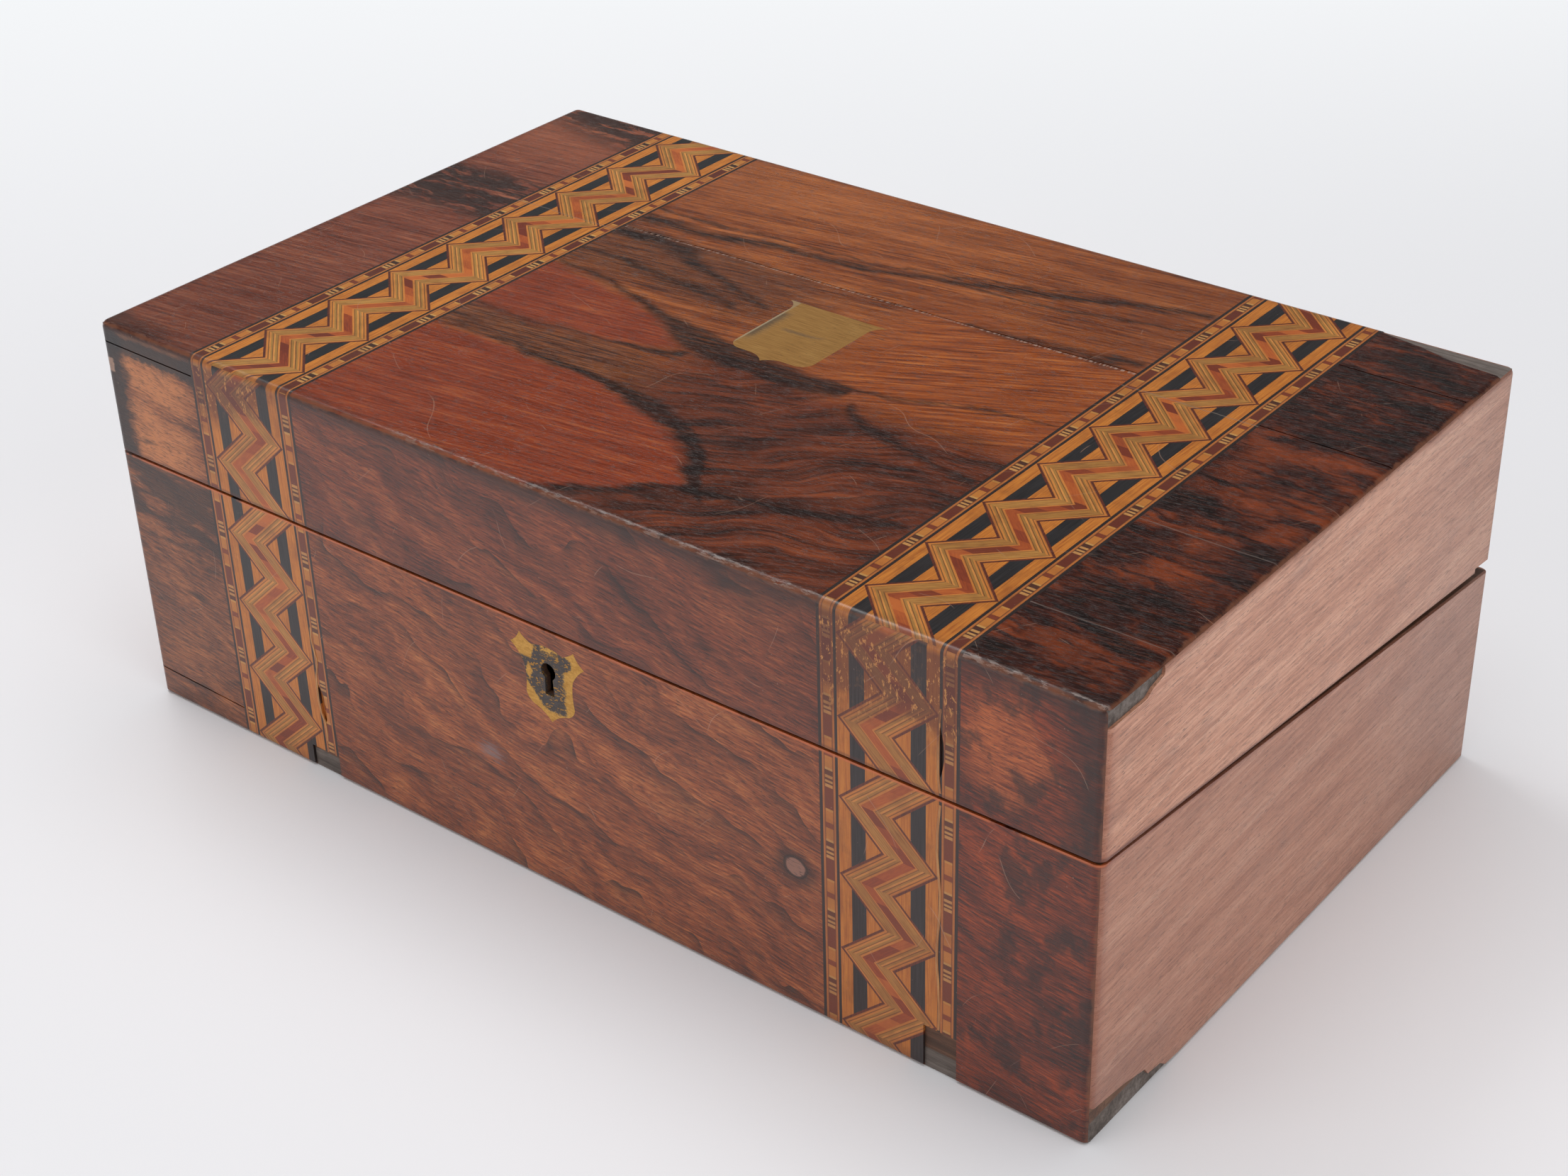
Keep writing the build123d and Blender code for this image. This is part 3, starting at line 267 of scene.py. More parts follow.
def aged(g, colour, rough, strength=1.0):
    """Wear along the edges, scratches, specks and dull patches over a polished wood, with a line on the base's worn top
    edge that is partly a painted highlight.
    """
    edge = edge_distance(g)
    nibble = g.noise(g.x * 0.25, g.y * 0.25, g.z * 0.25, 4)
    worn = g.step(edge - nibble * 3.0, 0.2, -0.8) * strength
    colour = g.mix(worn * 0.6, colour, (138, 84, 56))
    dark = g.step(edge - nibble * 6, 3.0, -2.0)
    colour = g.mix(dark * 0.3 * strength, colour, (48, 20, 12))
    specks = g.step(g.noise(g.x * 0.9, g.y * 0.9, g.z * 0.9, 1), 0.78, 0.82)
    colour = g.mix(specks * 0.25, colour, (190, 160, 140))
    for turn, seed in ((0.5, 3.0), (-0.9, 17.0)):
        across = g.x * turn + g.y * (1 - abs(turn) * 0.4) + g.z * 0.7
        bend = g.noise(g.x * 0.02 + seed, g.y * 0.02, g.z * 0.02, 1)
        lane = g.math("FRACT", across / 31 + bend * 1.5)
        scratch = g.step(g.math("ABSOLUTE", lane - 0.5), 0.0055, 0.002)
        gate = g.step(g.noise(g.x * 0.05, g.y * 0.05 + seed, g.z * 0.05, 2), 0.56, 0.62)
        colour = g.mix(scratch * gate * 0.35, colour, (176, 140, 118))
    over = over_rim(g)
    # The orange line along the top edge of the base at the front is partly the worn edge's own colour and partly a
    # painted highlight where that edge catches the light.
    worn_base_edge_highlight = g.step(over, -1.5, -1.0) * (over < 0.0) * g.step(g.v, 6.0, 1.0)
    chafed = g.step(g.noise(g.x / 14, g.y / 14, 2.0, 4, 0.7), 0.36, 0.52)
    colour = g.mix(worn_base_edge_highlight * chafed * 0.75, colour, (196, 100, 52))
    lid_edge = g.step(over, 1.9, 1.0) * (over > 0.0)
    colour = g.mix(lid_edge * 0.5, colour, (78, 28, 16))
    dull = g.noise(g.x * 0.02, g.y * 0.02, g.z * 0.02, 3)
    rough = rough + (dull - 0.5) * 0.18 + worn * 0.25
    return colour, rough


def figure(g, along, across, length, spacing, warp, seed, tight=3.0):
    """Growth lines, from 0 to 1: dark and crisp on one side, and fading out on the other."""
    bend = g.noise(along / length, across / (spacing * 2.2), seed, 3, 0.55)
    phase = g.math("FRACT", across / spacing + bend * warp)
    return g.math("POWER", phase, tight)


def pores(g, along, across, deep, length=4.0, width=0.35):
    """Fine dark dashes that follow the grain, from 0 to 1."""
    dash = g.noise(along * (1 / length), across * (1 / width), deep * (1 / width), 2, 0.6)
    return g.step(dash, 0.54, 0.66)


def turned(g, a, b, degrees):
    """Two coordinates turned in their plane, so that the first follows the grain."""
    c, s = math.cos(math.radians(degrees)), math.sin(math.radians(degrees))
    return a * c + b * s, b * c - a * s


def surface(g):
    """Whether a point of the skin is on the top, and its place across X: the distance from the front on the top, the
    height on the upright faces.
    """
    on_top = g.z > (TOP - VENEER - 0.05)
    return on_top, g.v * on_top + g.z * (1 - on_top)


# Walnut


def top_veneer():
    """Walnut of the lid's top: red lobes, dark streaks and a flowing feather in the middle panel."""
    g = Graph("top_walnut")
    u = g.x
    drift = (g.noise(u / 34, g.v / 13, 3.0, 2) - 0.5) * 12
    ripple = (g.noise(u / 9, g.v / 2.6, 7.0, 3) - 0.5) * 5.0
    v = g.v + drift + ripple
    along, across = turned(g, u, g.v, 7)
    fine = g.noise(along / 20, across / 0.9, 0.0, 5, 0.7)
    wide = g.noise(along / 70, across / 6, 4.0, 3)
    tone = fine * 0.65 + wide * 0.35
    wood = g.ramp(tone, (0.37, (80, 34, 12)), (0.46, (124, 60, 24)), (0.54, (156, 84, 38)), (0.63, (184, 108, 56)))

    wood = g.mix(g.step(u, 20, 90) * 0.25, wood, (84, 38, 18))
    wood = g.mix(g.step(v, 196, 216) * g.step(u, 60, -20) * 0.25, wood, (190, 112, 62))

    red_tone = g.noise(along / 22, across / 1.1, 9.0, 5, 0.68) + (wide - 0.5) * 0.4
    red = g.ramp(red_tone, (0.34, (104, 38, 15)), (0.46, (128, 51, 24)), (0.54, (140, 58, 29)), (0.66, (162, 82, 42)))
    upper_1 = g.curve(u, (-106, 124), (-75, 119), (-52, 113), (-38, 107), (-24, 99))
    lower_1 = g.curve(u, (-106, 84), (-75, 84), (-50, 87), (-36, 92), (-24, 99))
    lobe_1 = g.step(upper_1 - v, -2, 4) * g.step(v - lower_1, -3, 5)
    upper_2 = g.curve(u, (-106, 66), (-60, 66), (-20, 62), (0, 55), (18, 44), (31, 33), (38, 24))
    lower_2 = g.curve(u, (-106, -20), (-20, -12), (-2, -4), (10, 7), (24, 16), (38, 24))
    lobe_2 = g.step(upper_2 - v, -2, 4) * g.step(v - lower_2, -2, 5)

    slope, cross = turned(g, u, g.v, 26)
    swirl = (g.noise(u / 52, g.v / 40, 2.0, 2, 0.35) - 0.5) * 34
    strands = g.noise((slope + swirl) / 26, (cross + swirl) / 1.6, 1.0, 5, 0.66)
    smoke = g.noise(slope / 34, (cross + swirl) / 9, 8.0, 3, 0.55)
    curls = figure(g, slope, cross + swirl, 60, 19, 1.6, 5.0, 5.0)
    depth = strands * 0.5 + smoke * 0.5
    mottle = g.ramp(depth, (0.39, (38, 16, 9)), (0.47, (78, 34, 17)), (0.54, (106, 48, 25)), (0.64, (138, 68, 35)))
    mottle = g.mix(curls * 0.5, mottle, (28, 13, 9))
    in_mottle = g.step(u, -50, 0) * g.step(v, 112, 96)
    wood = g.mix(in_mottle, wood, mottle)
    gold = g.noise(slope / 30, cross / 1.5, 6.0, 5, 0.68)
    golden = g.ramp(gold, (0.34, (86, 36, 12)), (0.46, (134, 62, 22)), (0.54, (156, 78, 30)), (0.66, (184, 106, 50)))
    beside = g.step(u, 8, 40) * g.step(v, 88, 108) * g.step(v, 186, 158)
    wood = g.mix(beside, wood, golden)
    olive = g.step(u, -10, -44) * g.step(v, 62, 69) * g.step(v, 90, 81)
    brown = g.ramp(fine, (0.41, (44, 22, 13)), (0.50, (90, 48, 26)), (0.59, (128, 74, 42)))
    wood = g.mix(olive * 0.85, wood, brown)
    shade = g.step(u, 30, -40) * g.step(v, 122, 134) * g.step(v, 168, 160)
    wood = g.mix(shade * 0.65, wood, g.ramp(fine, (0.38, (40, 23, 16)), (0.50, (82, 46, 29)), (0.62, (116, 66, 38))))
    wood = g.mix(g.biggest(lobe_1, lobe_2), wood, red)

    streaks = [
        (2.4, (-106, 172, 3.6), (-55, 177, 2.6), (0, 186, 2.0), (45, 199, 2.2), (75, 208, 2.0), (105, 216, 2.8)),
        (1.2, (-106, 181, 0.9), (-40, 185, 0.6), (10, 193, 0.6), (60, 209, 0.5)),
        (1.2, (20, 190, 0.3), (60, 193, 0.8), (105, 205, 0.6)),
        (3.0, (-106, 158, 3.5), (-80, 158, 4.0), (-58, 149, 2.5), (-20, 138, 1.2)),
        (2.6, (-106, 141, 1.2), (-70, 138, 1.8), (-30, 131, 0.8)),
        (3.0, (40, 166, 0.6), (70, 168, 1.8), (105, 173, 3.0)),
        (2.6, (-106, 126, 1.4), (-70, 121, 1.6), (-45, 112, 2.6), (-20, 104, 6.0), (10, 101, 6.0), (40, 104, 2.0)),
        (2.0, (0, 100, 2.0), (40, 106, 1.2), (80, 117, 0.8), (105, 124, 0.5)),
        (2.2, (-106, 85, 0.6), (-60, 86, 0.8), (-20, 95, 3.2)),
        (2.0, (-82, 68, 0.3), (-40, 66, 2.2), (0, 60, 3.4), (22, 47, 4.0), (36, 33, 3.2), (46, 22, 2.0)),
        (2.2, (-4, 0, 2.0), (14, 9, 2.4), (38, 26, 3.0), (70, 35, 2.2), (105, 44, 2.0)),
        (2.6, (44, 98, 0.8), (60, 88, 2.2), (80, 82, 1.8), (105, 78, 2.4)),
    ]
    dark = g.biggest(*[g.streak(u, v, soft, *points) for soft, *points in streaks])
    combed = g.step(g.noise(along / 18, across / 0.9, 2.0, 3), 0.30, 0.62)
    centre = g.mix(dark * (0.55 + combed * 0.42), wood, (26, 13, 9))

    smear = g.noise(u / 24, v / 4.2, 11.0, 5, 0.64)
    zone = g.step(v, 130, 142) * g.step(v, 180, 168) + g.step(v + u * 0.3, 158, 178)
    left = g.ramp(red_tone, (0.36, (88, 40, 25)), (0.46, (116, 58, 40)), (0.54, (130, 68, 47)), (0.66, (158, 94, 66)))
    left = g.mix(g.step(v, 112, 40) * 0.3, left, (84, 36, 24))
    left = g.mix(g.step(v, 178, 205) * 0.35, left, (170, 98, 66))
    left = g.mix(zone * g.step(smear, 0.38, 0.50) * 0.9, left, (38, 24, 19))
    corner = g.step(v + (smear - 0.5) * 16, 14, 4) * g.step(u, -160, -180)
    left = g.mix(corner * 0.7, left, (52, 28, 22))

    flame = g.noise(u / 17, (v + swirl * 0.12) / 3.6, 13.0, 5, 0.66)
    bank = g.noise(u / 40, v / 14, 23.0, 3, 0.5)
    ember = g.step(v, 104, 126) * g.step(v, 172, 140) * g.step(u, 152, 166) * 0.05
    depth = flame * 0.5 + bank * 0.5 + ember
    right = g.ramp(depth, (0.42, (22, 8, 5)), (0.50, (52, 18, 9)), (0.56, (96, 40, 16)), (0.66, (136, 60, 24)))
    right = g.mix((fine > 0.56) * 0.25, right, (118, 60, 34))

    colour = g.mix(u > 130, g.mix(u > -130, left, centre), right)
    pore = pores(g, along, across, 0.0)
    colour = g.mix(pore * 0.6, colour, (30, 14, 9))
    split = g.step(g.math("ABSOLUTE", g.v - 164.4 - u * 0.02), 0.8, 0.4) * (g.math("ABSOLUTE", u) < 106.0)
    beads = g.step(g.noise(u / 1.3, 0.0, 31.0, 2), 0.46, 0.56)
    colour = g.mix(split * beads * 0.75, colour, (166, 138, 124))
    crack = g.step(g.math("ABSOLUTE", g.v - 33 - drift * 0.2), 0.4, 0.1) * (u > 150)
    crack = g.biggest(crack, g.step(g.math("ABSOLUTE", g.v - 89 - drift * 0.1), 0.35, 0.1) * (u > 150))
    colour = g.mix(crack * 0.5, colour, (120, 104, 96))
    grey = g.step(u, -64, -56) * g.step(u, -110, -104) + g.step(u, 40, 60) * 0.35
    scuff = g.step(g.noise(u / 4, g.v / 1.2, g.z / 1.2, 4, 0.7), 0.50, 0.58) * g.step(g.v, 3.2, 0.8) * grey
    colour = g.mix(scuff * 0.8, colour, (150, 134, 126))
    colour, rough = aged(g, colour, 0.28)
    return g.finish(colour, rough, (1 - pore) * 0.6 + fine * 0.4, 0.07, coat=0.08, **{"Specular IOR Level": 0.3})


def front_veneer():
    """Walnut of the front: slanting grain with flowing dark veins, clouds and lighter panels."""
    g = Graph("front_walnut")
    along, across = turned(g, g.x, g.z, -22)
    warp = (g.noise(g.x / 52, g.z / 34, 1.0, 2, 0.5) - 0.5) * 34
    veins = figure(g, along, across + warp, 52, 21, 2.2, 4.0, 7.0)
    veins = veins * g.step(g.noise(g.x / 30, g.z / 20, 5.0, 3), 0.44, 0.60)
    hairs = figure(g, along, across + warp, 34, 6.5, 0.8, 14.0, 5.0)
    hairs = hairs * g.step(g.noise(g.x / 24, g.z / 16, 25.0, 3), 0.48, 0.64)
    grain, thick = turned(g, g.x, g.z + warp * 0.15, -6)
    fine = g.noise(grain / 9, thick / 0.7, 0.0, 5, 0.72)
    cloud = g.noise((along + warp) / 46, (across + warp) / 12, 8.0, 4, 0.6)
    tone = fine * 0.6 + cloud * 0.4
    lid = g.z > (RIM_FRONT + 0.3)
    base_wood = g.ramp(tone, (0.39, (72, 29, 11)), (0.46, (118, 54, 24)), (0.53, (154, 77, 36)), (0.62, (192, 114, 60)))
    lid_wood = g.ramp(tone, (0.39, (56, 21, 11)), (0.46, (102, 43, 22)), (0.54, (136, 63, 32)), (0.63, (172, 94, 50)))
    centre = g.mix(lid, base_wood, lid_wood)
    shade = figure(g, along, across + warp, 52, 21, 2.2, 4.0, 1.6)
    centre = g.mix(shade * 0.3, centre, (70, 30, 16))
    centre = g.mix(veins * 0.85, centre, (38, 17, 11))
    centre = g.mix(hairs * 0.45, centre, (48, 22, 14))
    knot = g.math("SQRT", (g.x - 96) * (g.x - 96) + (g.z - 53) * (g.z - 53) * 1.5) + (cloud - 0.5) * 3
    centre = g.mix(g.step(knot, 11, 5) * 0.75, centre, (48, 22, 14))
    centre = g.mix(g.step(knot, 4.6, 3.4), centre, (140, 96, 80))
    centre = g.mix(g.step(g.math("ABSOLUTE", knot - 4.3), 0.9, 0.3) * 0.7, centre, (28, 14, 10))

    glow = g.step(g.x, -197, -184) * g.step(g.x, -152, -166) * lid
    left = g.ramp(tone + glow * 0.12, (0.39, (50, 24, 15)), (0.47, (106, 54, 29)), (0.56, (152, 86, 46)), (0.66, (192, 118, 68)))
    left = g.mix(hairs * 0.5, left, (56, 27, 17))
    shade = g.step(g.noise(g.x / 30, g.z / 8, 15.0, 4, 0.6) + g.step(g.z, 60, 88) * (1 - lid) * 0.22, 0.58, 0.7)
    left = g.mix(shade * 0.75, left, (36, 20, 15))
    ragged = (g.noise(g.x / 7, g.z / 4, 33.0, 4, 0.7) - 0.5) * 14
    # Painted shade: the left end of the lid's front is darkened almost to black, with a ragged border.
    left = g.mix(g.step(g.x + ragged, -187, -193) * lid * 0.92, left, (30, 20, 19))
    crown = g.step(g.z + ragged + (g.x + 175) * 0.05, 136.5, 141.5) * g.step(g.z + ragged * 0.2, 147.4, 146.0)
    left = g.mix(crown * 0.92, left, (30, 24, 24))
    chip = g.step(g.x + ragged * 0.2, -195.0, -196.0) * g.step(g.math("ABSOLUTE", g.z - 134.3 + ragged * 0.15), 3.0, 2.2)
    left = g.mix(chip, left, (168, 132, 112))
    left = g.mix(g.step(g.z, TOP - 2.6, TOP - 1.6) * 0.8, left, (92, 28, 12))
    patch = g.math("SQRT", (g.x - 168) * (g.x - 168) + (g.z - 128) * (g.z - 128) * 0.8) + (cloud - 0.5) * 40
    right = g.ramp(tone, (0.38, (40, 13, 5)), (0.48, (96, 33, 9)), (0.56, (140, 54, 15)), (0.66, (174, 78, 26)))
    right = g.mix(g.step(patch, 18, 7) * lid, right, g.ramp(fine, (0.36, (112, 42, 17)), (0.64, (192, 100, 48))))
    dark = g.step(g.noise(g.x / 12, g.z / 16, 21.0, 4, 0.6), 0.50, 0.62)
    right = g.mix(dark * 0.65, right, (26, 13, 10))
    right = g.mix(g.step(g.x + (cloud - 0.5) * 20, 183, 194) * lid * 0.6, right, (34, 14, 9))
    colour = g.mix(g.x > 130, g.mix(g.x > -130, left, centre), right)

    soot = g.step(g.z + (cloud - 0.5) * 20, TOP - 9, TOP - 1)
    colour = g.mix(soot * 0.7, colour, (34, 16, 12))
    pore = pores(g, grain, thick, g.y, 2.6)
    colour = g.mix(pore * 0.6, colour, (34, 15, 10))
    smear = g.step(g.math("SQRT", (g.x + 30) * (g.x + 30) * 0.25 + (g.z - 43) * (g.z - 43)) + (fine - 0.5) * 18, 4, 0)
    colour = g.mix(smear * 0.35, colour, (176, 150, 148))
    colour, rough = aged(g, colour, 0.32)
    return g.finish(colour, rough, (1 - pore) * 0.6 + fine * 0.4, 0.07, coat=0.12)


def side_veneer():
    """Plain straight-grained veneer of the sides and back, faded and dull, with dark pores."""
    g = Graph("side_veneer")
    on_back = g.y > (BACK - VENEER - 0.05)
    along = g.y * (1 - on_back) + g.x * on_back
    deep = g.x * (1 - on_back) + g.y * on_back
    level = g.z - g.v * 0.02
    fine = g.noise(along / 26, level / 0.9, deep / 9, 5, 0.64)
    wide = g.noise(along / 90, level / 9, deep / 9, 3)
    wood = g.ramp(fine * 0.6 + wide * 0.4, (0.38, (172, 114, 88)), (0.5, (200, 141, 113)), (0.62, (218, 164, 136)))
    smudge = g.step(g.noise(along / 24, level / 12, deep / 8 + 3, 5, 0.66), 0.50, 0.78)
    wood = g.mix(smudge * 0.32, wood, (128, 106, 98))
    low = g.step(g.z, 46, 12) * g.step(g.v, 70, 15)
    wood = g.mix(low * 0.3, wood, (118, 92, 88))
    lower = g.step(g.z - g.v * (RIM_BACK - RIM_FRONT) / (BACK - FRONT), RIM_FRONT + 0.6, RIM_FRONT - 0.2)
    wood = g.mix(lower * 0.32, wood, (128, 78, 62))
    far = g.step(g.v, 130, 235)
    wood = g.mix(far * 0.25, wood, (118, 98, 90))
    pore = pores(g, along, level, deep, 5.5, 0.26)
    wood = g.mix(pore * 0.6, wood, (104, 66, 52))
    fleck = g.step(g.noise(along / 2.4, level / 0.42, deep + 40, 2, 0.5), 0.64, 0.70)
    wood = g.mix(fleck * 0.7, wood, (72, 46, 40))
    stain = g.step(g.noise(along / 5, level / 2.4, deep + 60, 4, 0.66), 0.66, 0.74)
    wood = g.mix(stain * 0.4, wood, (84, 62, 60))
    near = g.step(g.v, 7, 0)
    wood = g.mix(near * 0.4, wood, (146, 70, 44))
    red_edge = g.step(g.math("ABSOLUTE", over_rim(g)), 2.4, 0.8)
    wood = g.mix(red_edge * 0.55, wood, (112, 44, 24))
    top_edge = g.step(TOP - g.z, 2.6, 0.6)
    wood = g.mix(top_edge * 0.6, wood, (92, 38, 24))
    colour, rough = aged(g, wood, 0.40, 0.5)
    return g.finish(colour, rough, (1 - pore) * 0.8 + fine * 0.2, 0.06, coat=0.08)


def plain_wood(name, dark, mid, light, rough=0.5, along="x", coat=0.0, top_darkening=0.72):
    """A straight-grained wood whose grain runs along one axis of the box."""
    g = Graph(name)
    a, b, c = {"x": (g.x, g.y, g.z), "y": (g.y, g.x, g.z), "z": (g.z, g.x, g.y)}[along]
    fine = g.noise(a / 30, b / 1.6, c / 1.6, 4, 0.6)
    wide = g.noise(a / 80, b / 9.6, c / 9.6, 3)
    wood = g.ramp(fine * 0.55 + wide * 0.45, (0.34, dark), (0.5, mid), (0.66, light))
    pore = pores(g, a, b, c, 5.0, 0.4)
    wood = g.mix(pore * 0.45, wood, dark)
    grime_and_top_darkening = g.step(g.noise(g.x / 18, g.y / 18, g.z / 18, 4), 0.5, 0.72) * 0.3
    # Besides the random grime, a band within 2.5 mm of the box's top is made darker by the last argument.
    grime_and_top_darkening = g.biggest(grime_and_top_darkening, (g.z > (TOP - 2.5)) * top_darkening)
    wood = g.mix(grime_and_top_darkening, wood, [c * 0.6 for c in dark])
    return g.finish(wood, rough, (1 - pore) * 0.7 + fine * 0.3, 0.1, coat=coat)


# Parquetry


class Band(Graph):
    """A material for the inlay, with the place in the band worked out.

    u is the distance from the band's middle, run the place along it, off the distance sideways
    from the zigzag's middle line, and limb 1 on the strips that fall to the right.
    """

    def __init__(self, name):
        super().__init__(name)
        self.top, self.run = surface(self)
        self.hand = self.math("SIGN", self.x)
        side = self.top * (self.hand + 1) - 1
        pitch = PITCH_FRONT + self.top * (PITCH_TOP - PITCH_FRONT)
        tip = TIP_FRONT + self.top * (TIP_TOP - TIP_FRONT)
        self.u = self.x - self.hand * BAND_CENTRE
        turns = (self.run - tip) / pitch
        cycle = self.math("FRACT", turns)
        phase = self.math("ABSOLUTE", cycle - 0.5) * 4 - 1
        self.off = self.u - side * SWING * phase
        falling = ((cycle - 0.5) * side) < 0.0
        self.limb = falling * self.top + (1 - falling) * (1 - self.top)
        self.count = self.math("FLOOR", turns * 2)

    def tinted(self, colour, tint):
        """Darker, redder wood on the front, with the dark stain near its top edge."""
        colour = self.mix((1 - self.top) * (0.22 * tint), colour, (146, 62, 18))
        colour = self.mix((self.hand > 0.0) * (0.16 * tint), colour, (116, 46, 10))
        age = self.noise(self.x / 9, self.y / 9, self.z / 9, 4, 0.62)
        colour = self.mix(self.step(age, 0.46, 0.70) * (0.25 * tint), colour, (92, 46, 22))
        cloud = self.noise(self.x / 13, self.y / 13, self.z / 9, 4, 0.6)
        lid = self.z > (RIM_FRONT + 0.3)
        right = self.hand > 0.0
        level = cloud * 30 + right * 16 - self.u * (1 - right) * 0.5
        stain = self.step(self.z + level, 146, 158) * self.step(self.z, TOP - 1.5, TOP - 4) * lid
        colour = self.mix(stain * (1 - self.top) * (0.7 * tint), colour, (84, 30, 13))
        flake = self.step(self.noise(self.x / 1.1, self.y, self.z / 2.4, 4, 0.7), 0.56, 0.62) * stain
        colour = self.mix(flake * (1 - self.top) * (0.7 * tint), colour, (206, 140, 72))
        shift = self.math("ABSOLUTE", self.v - 157.6 + (cloud - 0.5) * 2)
        crack = self.step(shift, 0.32, 0.12) * self.top
        return self.mix(crack * 0.55, colour, (130, 116, 104))

    def end(self, colour, rough=0.32, height=None, tint=1.0):
        colour, rough = aged(self, self.tinted(colour, tint), rough, 0.7)
        return self.finish(colour, rough, height, 0.05, coat=0.1)


def zigzag_olive():
    """Laminates of the zigzag: thin stripes on one limb, a broad olive strip with orange margins on the other."""
    g = Band("zigzag_olive")
    depth = (g.math("ABSOLUTE", g.off) - 2.1) / 6.8
    tone = g.cell(g.count, g.math("SIGN", g.off) * 3 + g.hand)
    jitter = (g.noise(g.off / 1.2, g.run / 9, g.hand * 4, 2) - 0.5) * 0.08
    lines = g.ramp(
        depth + jitter,
        (0.0, (212, 130, 54)), (0.13, (112, 76, 32)), (0.20, (166, 122, 56)), (0.34, (224, 150, 72)),
        (0.46, (104, 64, 28)), (0.52, (166, 124, 58)), (0.64, (216, 138, 60)), (0.77, (110, 72, 32)),
        (0.84, (212, 128, 52)), (0.95, (166, 98, 42)), sharp=True,
    )
    grain = g.noise(g.off / 0.5, g.run / 6, g.hand * 9, 4, 0.66)
    smooth = g.ramp(grain, (0.38, (130, 86, 34)), (0.5, (174, 122, 52)), (0.62, (208, 156, 76)))
    margin = g.step(g.math("ABSOLUTE", depth - 0.48), 0.34, 0.37)
    smooth = g.mix(margin, smooth, (214, 134, 56))
    seam = g.step(g.math("ABSOLUTE", g.math("ABSOLUTE", depth - 0.48) - 0.35), 0.045, 0.02)
    smooth = g.mix(seam * 0.6, smooth, (96, 56, 26))
    colour = g.mix(g.limb, smooth, lines)
    streak = g.step(grain, 0.5, 0.62)
    colour = g.mix(streak * 0.3, colour, (104, 60, 26))
    colour = g.mix(tone * 0.2, colour, (128, 76, 32))
    colour = g.mix((1 - tone) * 0.12, colour, (226, 160, 84))
    return g.end(colour, 0.32, grain)


def zigzag_red():
    g = Band("zigzag_red")
    piece = g.cell(g.run / 4.6 + g.hand * 0.3, g.hand)
    grain = g.noise(g.off / 0.6, g.run / 3, g.hand * 7, 3)
    value = piece * 0.6 + grain * 0.4
    colour = g.ramp(value, (0.28, (114, 42, 18)), (0.42, (148, 62, 25)), (0.56, (172, 82, 32)), (0.72, (196, 104, 42)))
    return g.end(colour, 0.32, grain)


def plain_strip(name, dark, light, rough=0.32, tint=1.0):
    """Inlay whose grain runs along the band."""
    g = Band(name)
    grain = g.noise(g.u / 0.5, g.run / 14, g.hand * 5, 4, 0.62)
    colour = g.ramp(grain, (0.34, dark), (0.64, light))
    pore = g.step(g.noise(g.u / 0.35, g.run / 3.5, g.hand * 3 + 8, 2), 0.60, 0.72)
    colour = g.mix(pore * 0.4, colour, [c * 0.6 for c in dark])
    return g.end(colour, rough, grain, tint)


def chequers():
    """Edge strips: light borders round a run of dark, orange and black blocks that repeats."""
    g = Band("band_chequers")
    inner = (g.u * g.hand) < 0.0
    right = g.hand > 0.0
    top_start = right * (inner * 145.1 + (1 - inner) * 142.0) + (1 - right) * (inner * 142.3 + (1 - inner) * 139.8)
    fall = top_start - g.run
    front_right = 113.0 - g.run
    front_left = g.run - (11.8 + inner * 2.0)
    along = g.top * fall + (1 - g.top) * (right * front_right + (1 - right) * front_left)
    period = 25.45 + g.top * 1.45
    place = g.math("FRACT", along / period)
    blocks = g.ramp(
        place,
        (0.0, (92, 32, 20)), (0.30, (210, 150, 72)), (0.33, (202, 124, 50)), (0.49, (122, 50, 26)),
        (0.57, (206, 132, 54)), (0.73, (216, 164, 90)), (0.76, (36, 24, 20)), (0.83, (206, 152, 86)),
        (0.87, (48, 30, 22)), (0.90, (210, 158, 90)), (0.93, (54, 32, 24)), (0.955, (210, 154, 86)), sharp=True,
    )
    half = 17.5 + 1.0 + 4.7 / 2
    side = g.math("ABSOLUTE", g.math("ABSOLUTE", g.u) - half)
    border = g.step(side, 1.45, 1.6)
    seam = g.step(g.math("ABSOLUTE", side - 1.5), 0.28, 0.1)
    grain = g.noise(g.u / 0.6, g.run / 1.2, g.hand * 5, 3)
    tone = g.cell(along / (period * 0.12), g.hand)
    colour = g.mix(border, blocks, (194, 116, 52))
    colour = g.mix(seam * 0.7, colour, (70, 36, 24))
    colour = g.mix(grain * 0.25 + tone * 0.12, colour, (110, 62, 34))
    return g.end(colour, 0.32, grain)


# Metal, glass and leather


def brass(name, bright, tarnish, amount, rough=0.34):
    """Old brass: brushed, scratched and tarnished by amount."""
    g = Graph(name)
    spots = g.noise(g.x / 2.6, g.y / 2.6, g.z / 2.6, 4, 0.65)
    brush = g.noise(g.x / 7, g.y / 0.5, g.z / 0.5, 3)
    stain = g.step(spots + (brush - 0.5) * 0.3, 0.68 - amount * 0.3, 0.76 - amount * 0.25)
    colour = g.mix(stain, g.mix(brush * 0.5, bright, [c * 0.78 for c in bright]), tarnish)
    return g.finish(colour, rough + stain * 0.25, brush, 0.03, metallic=1 - stain * 0.5)


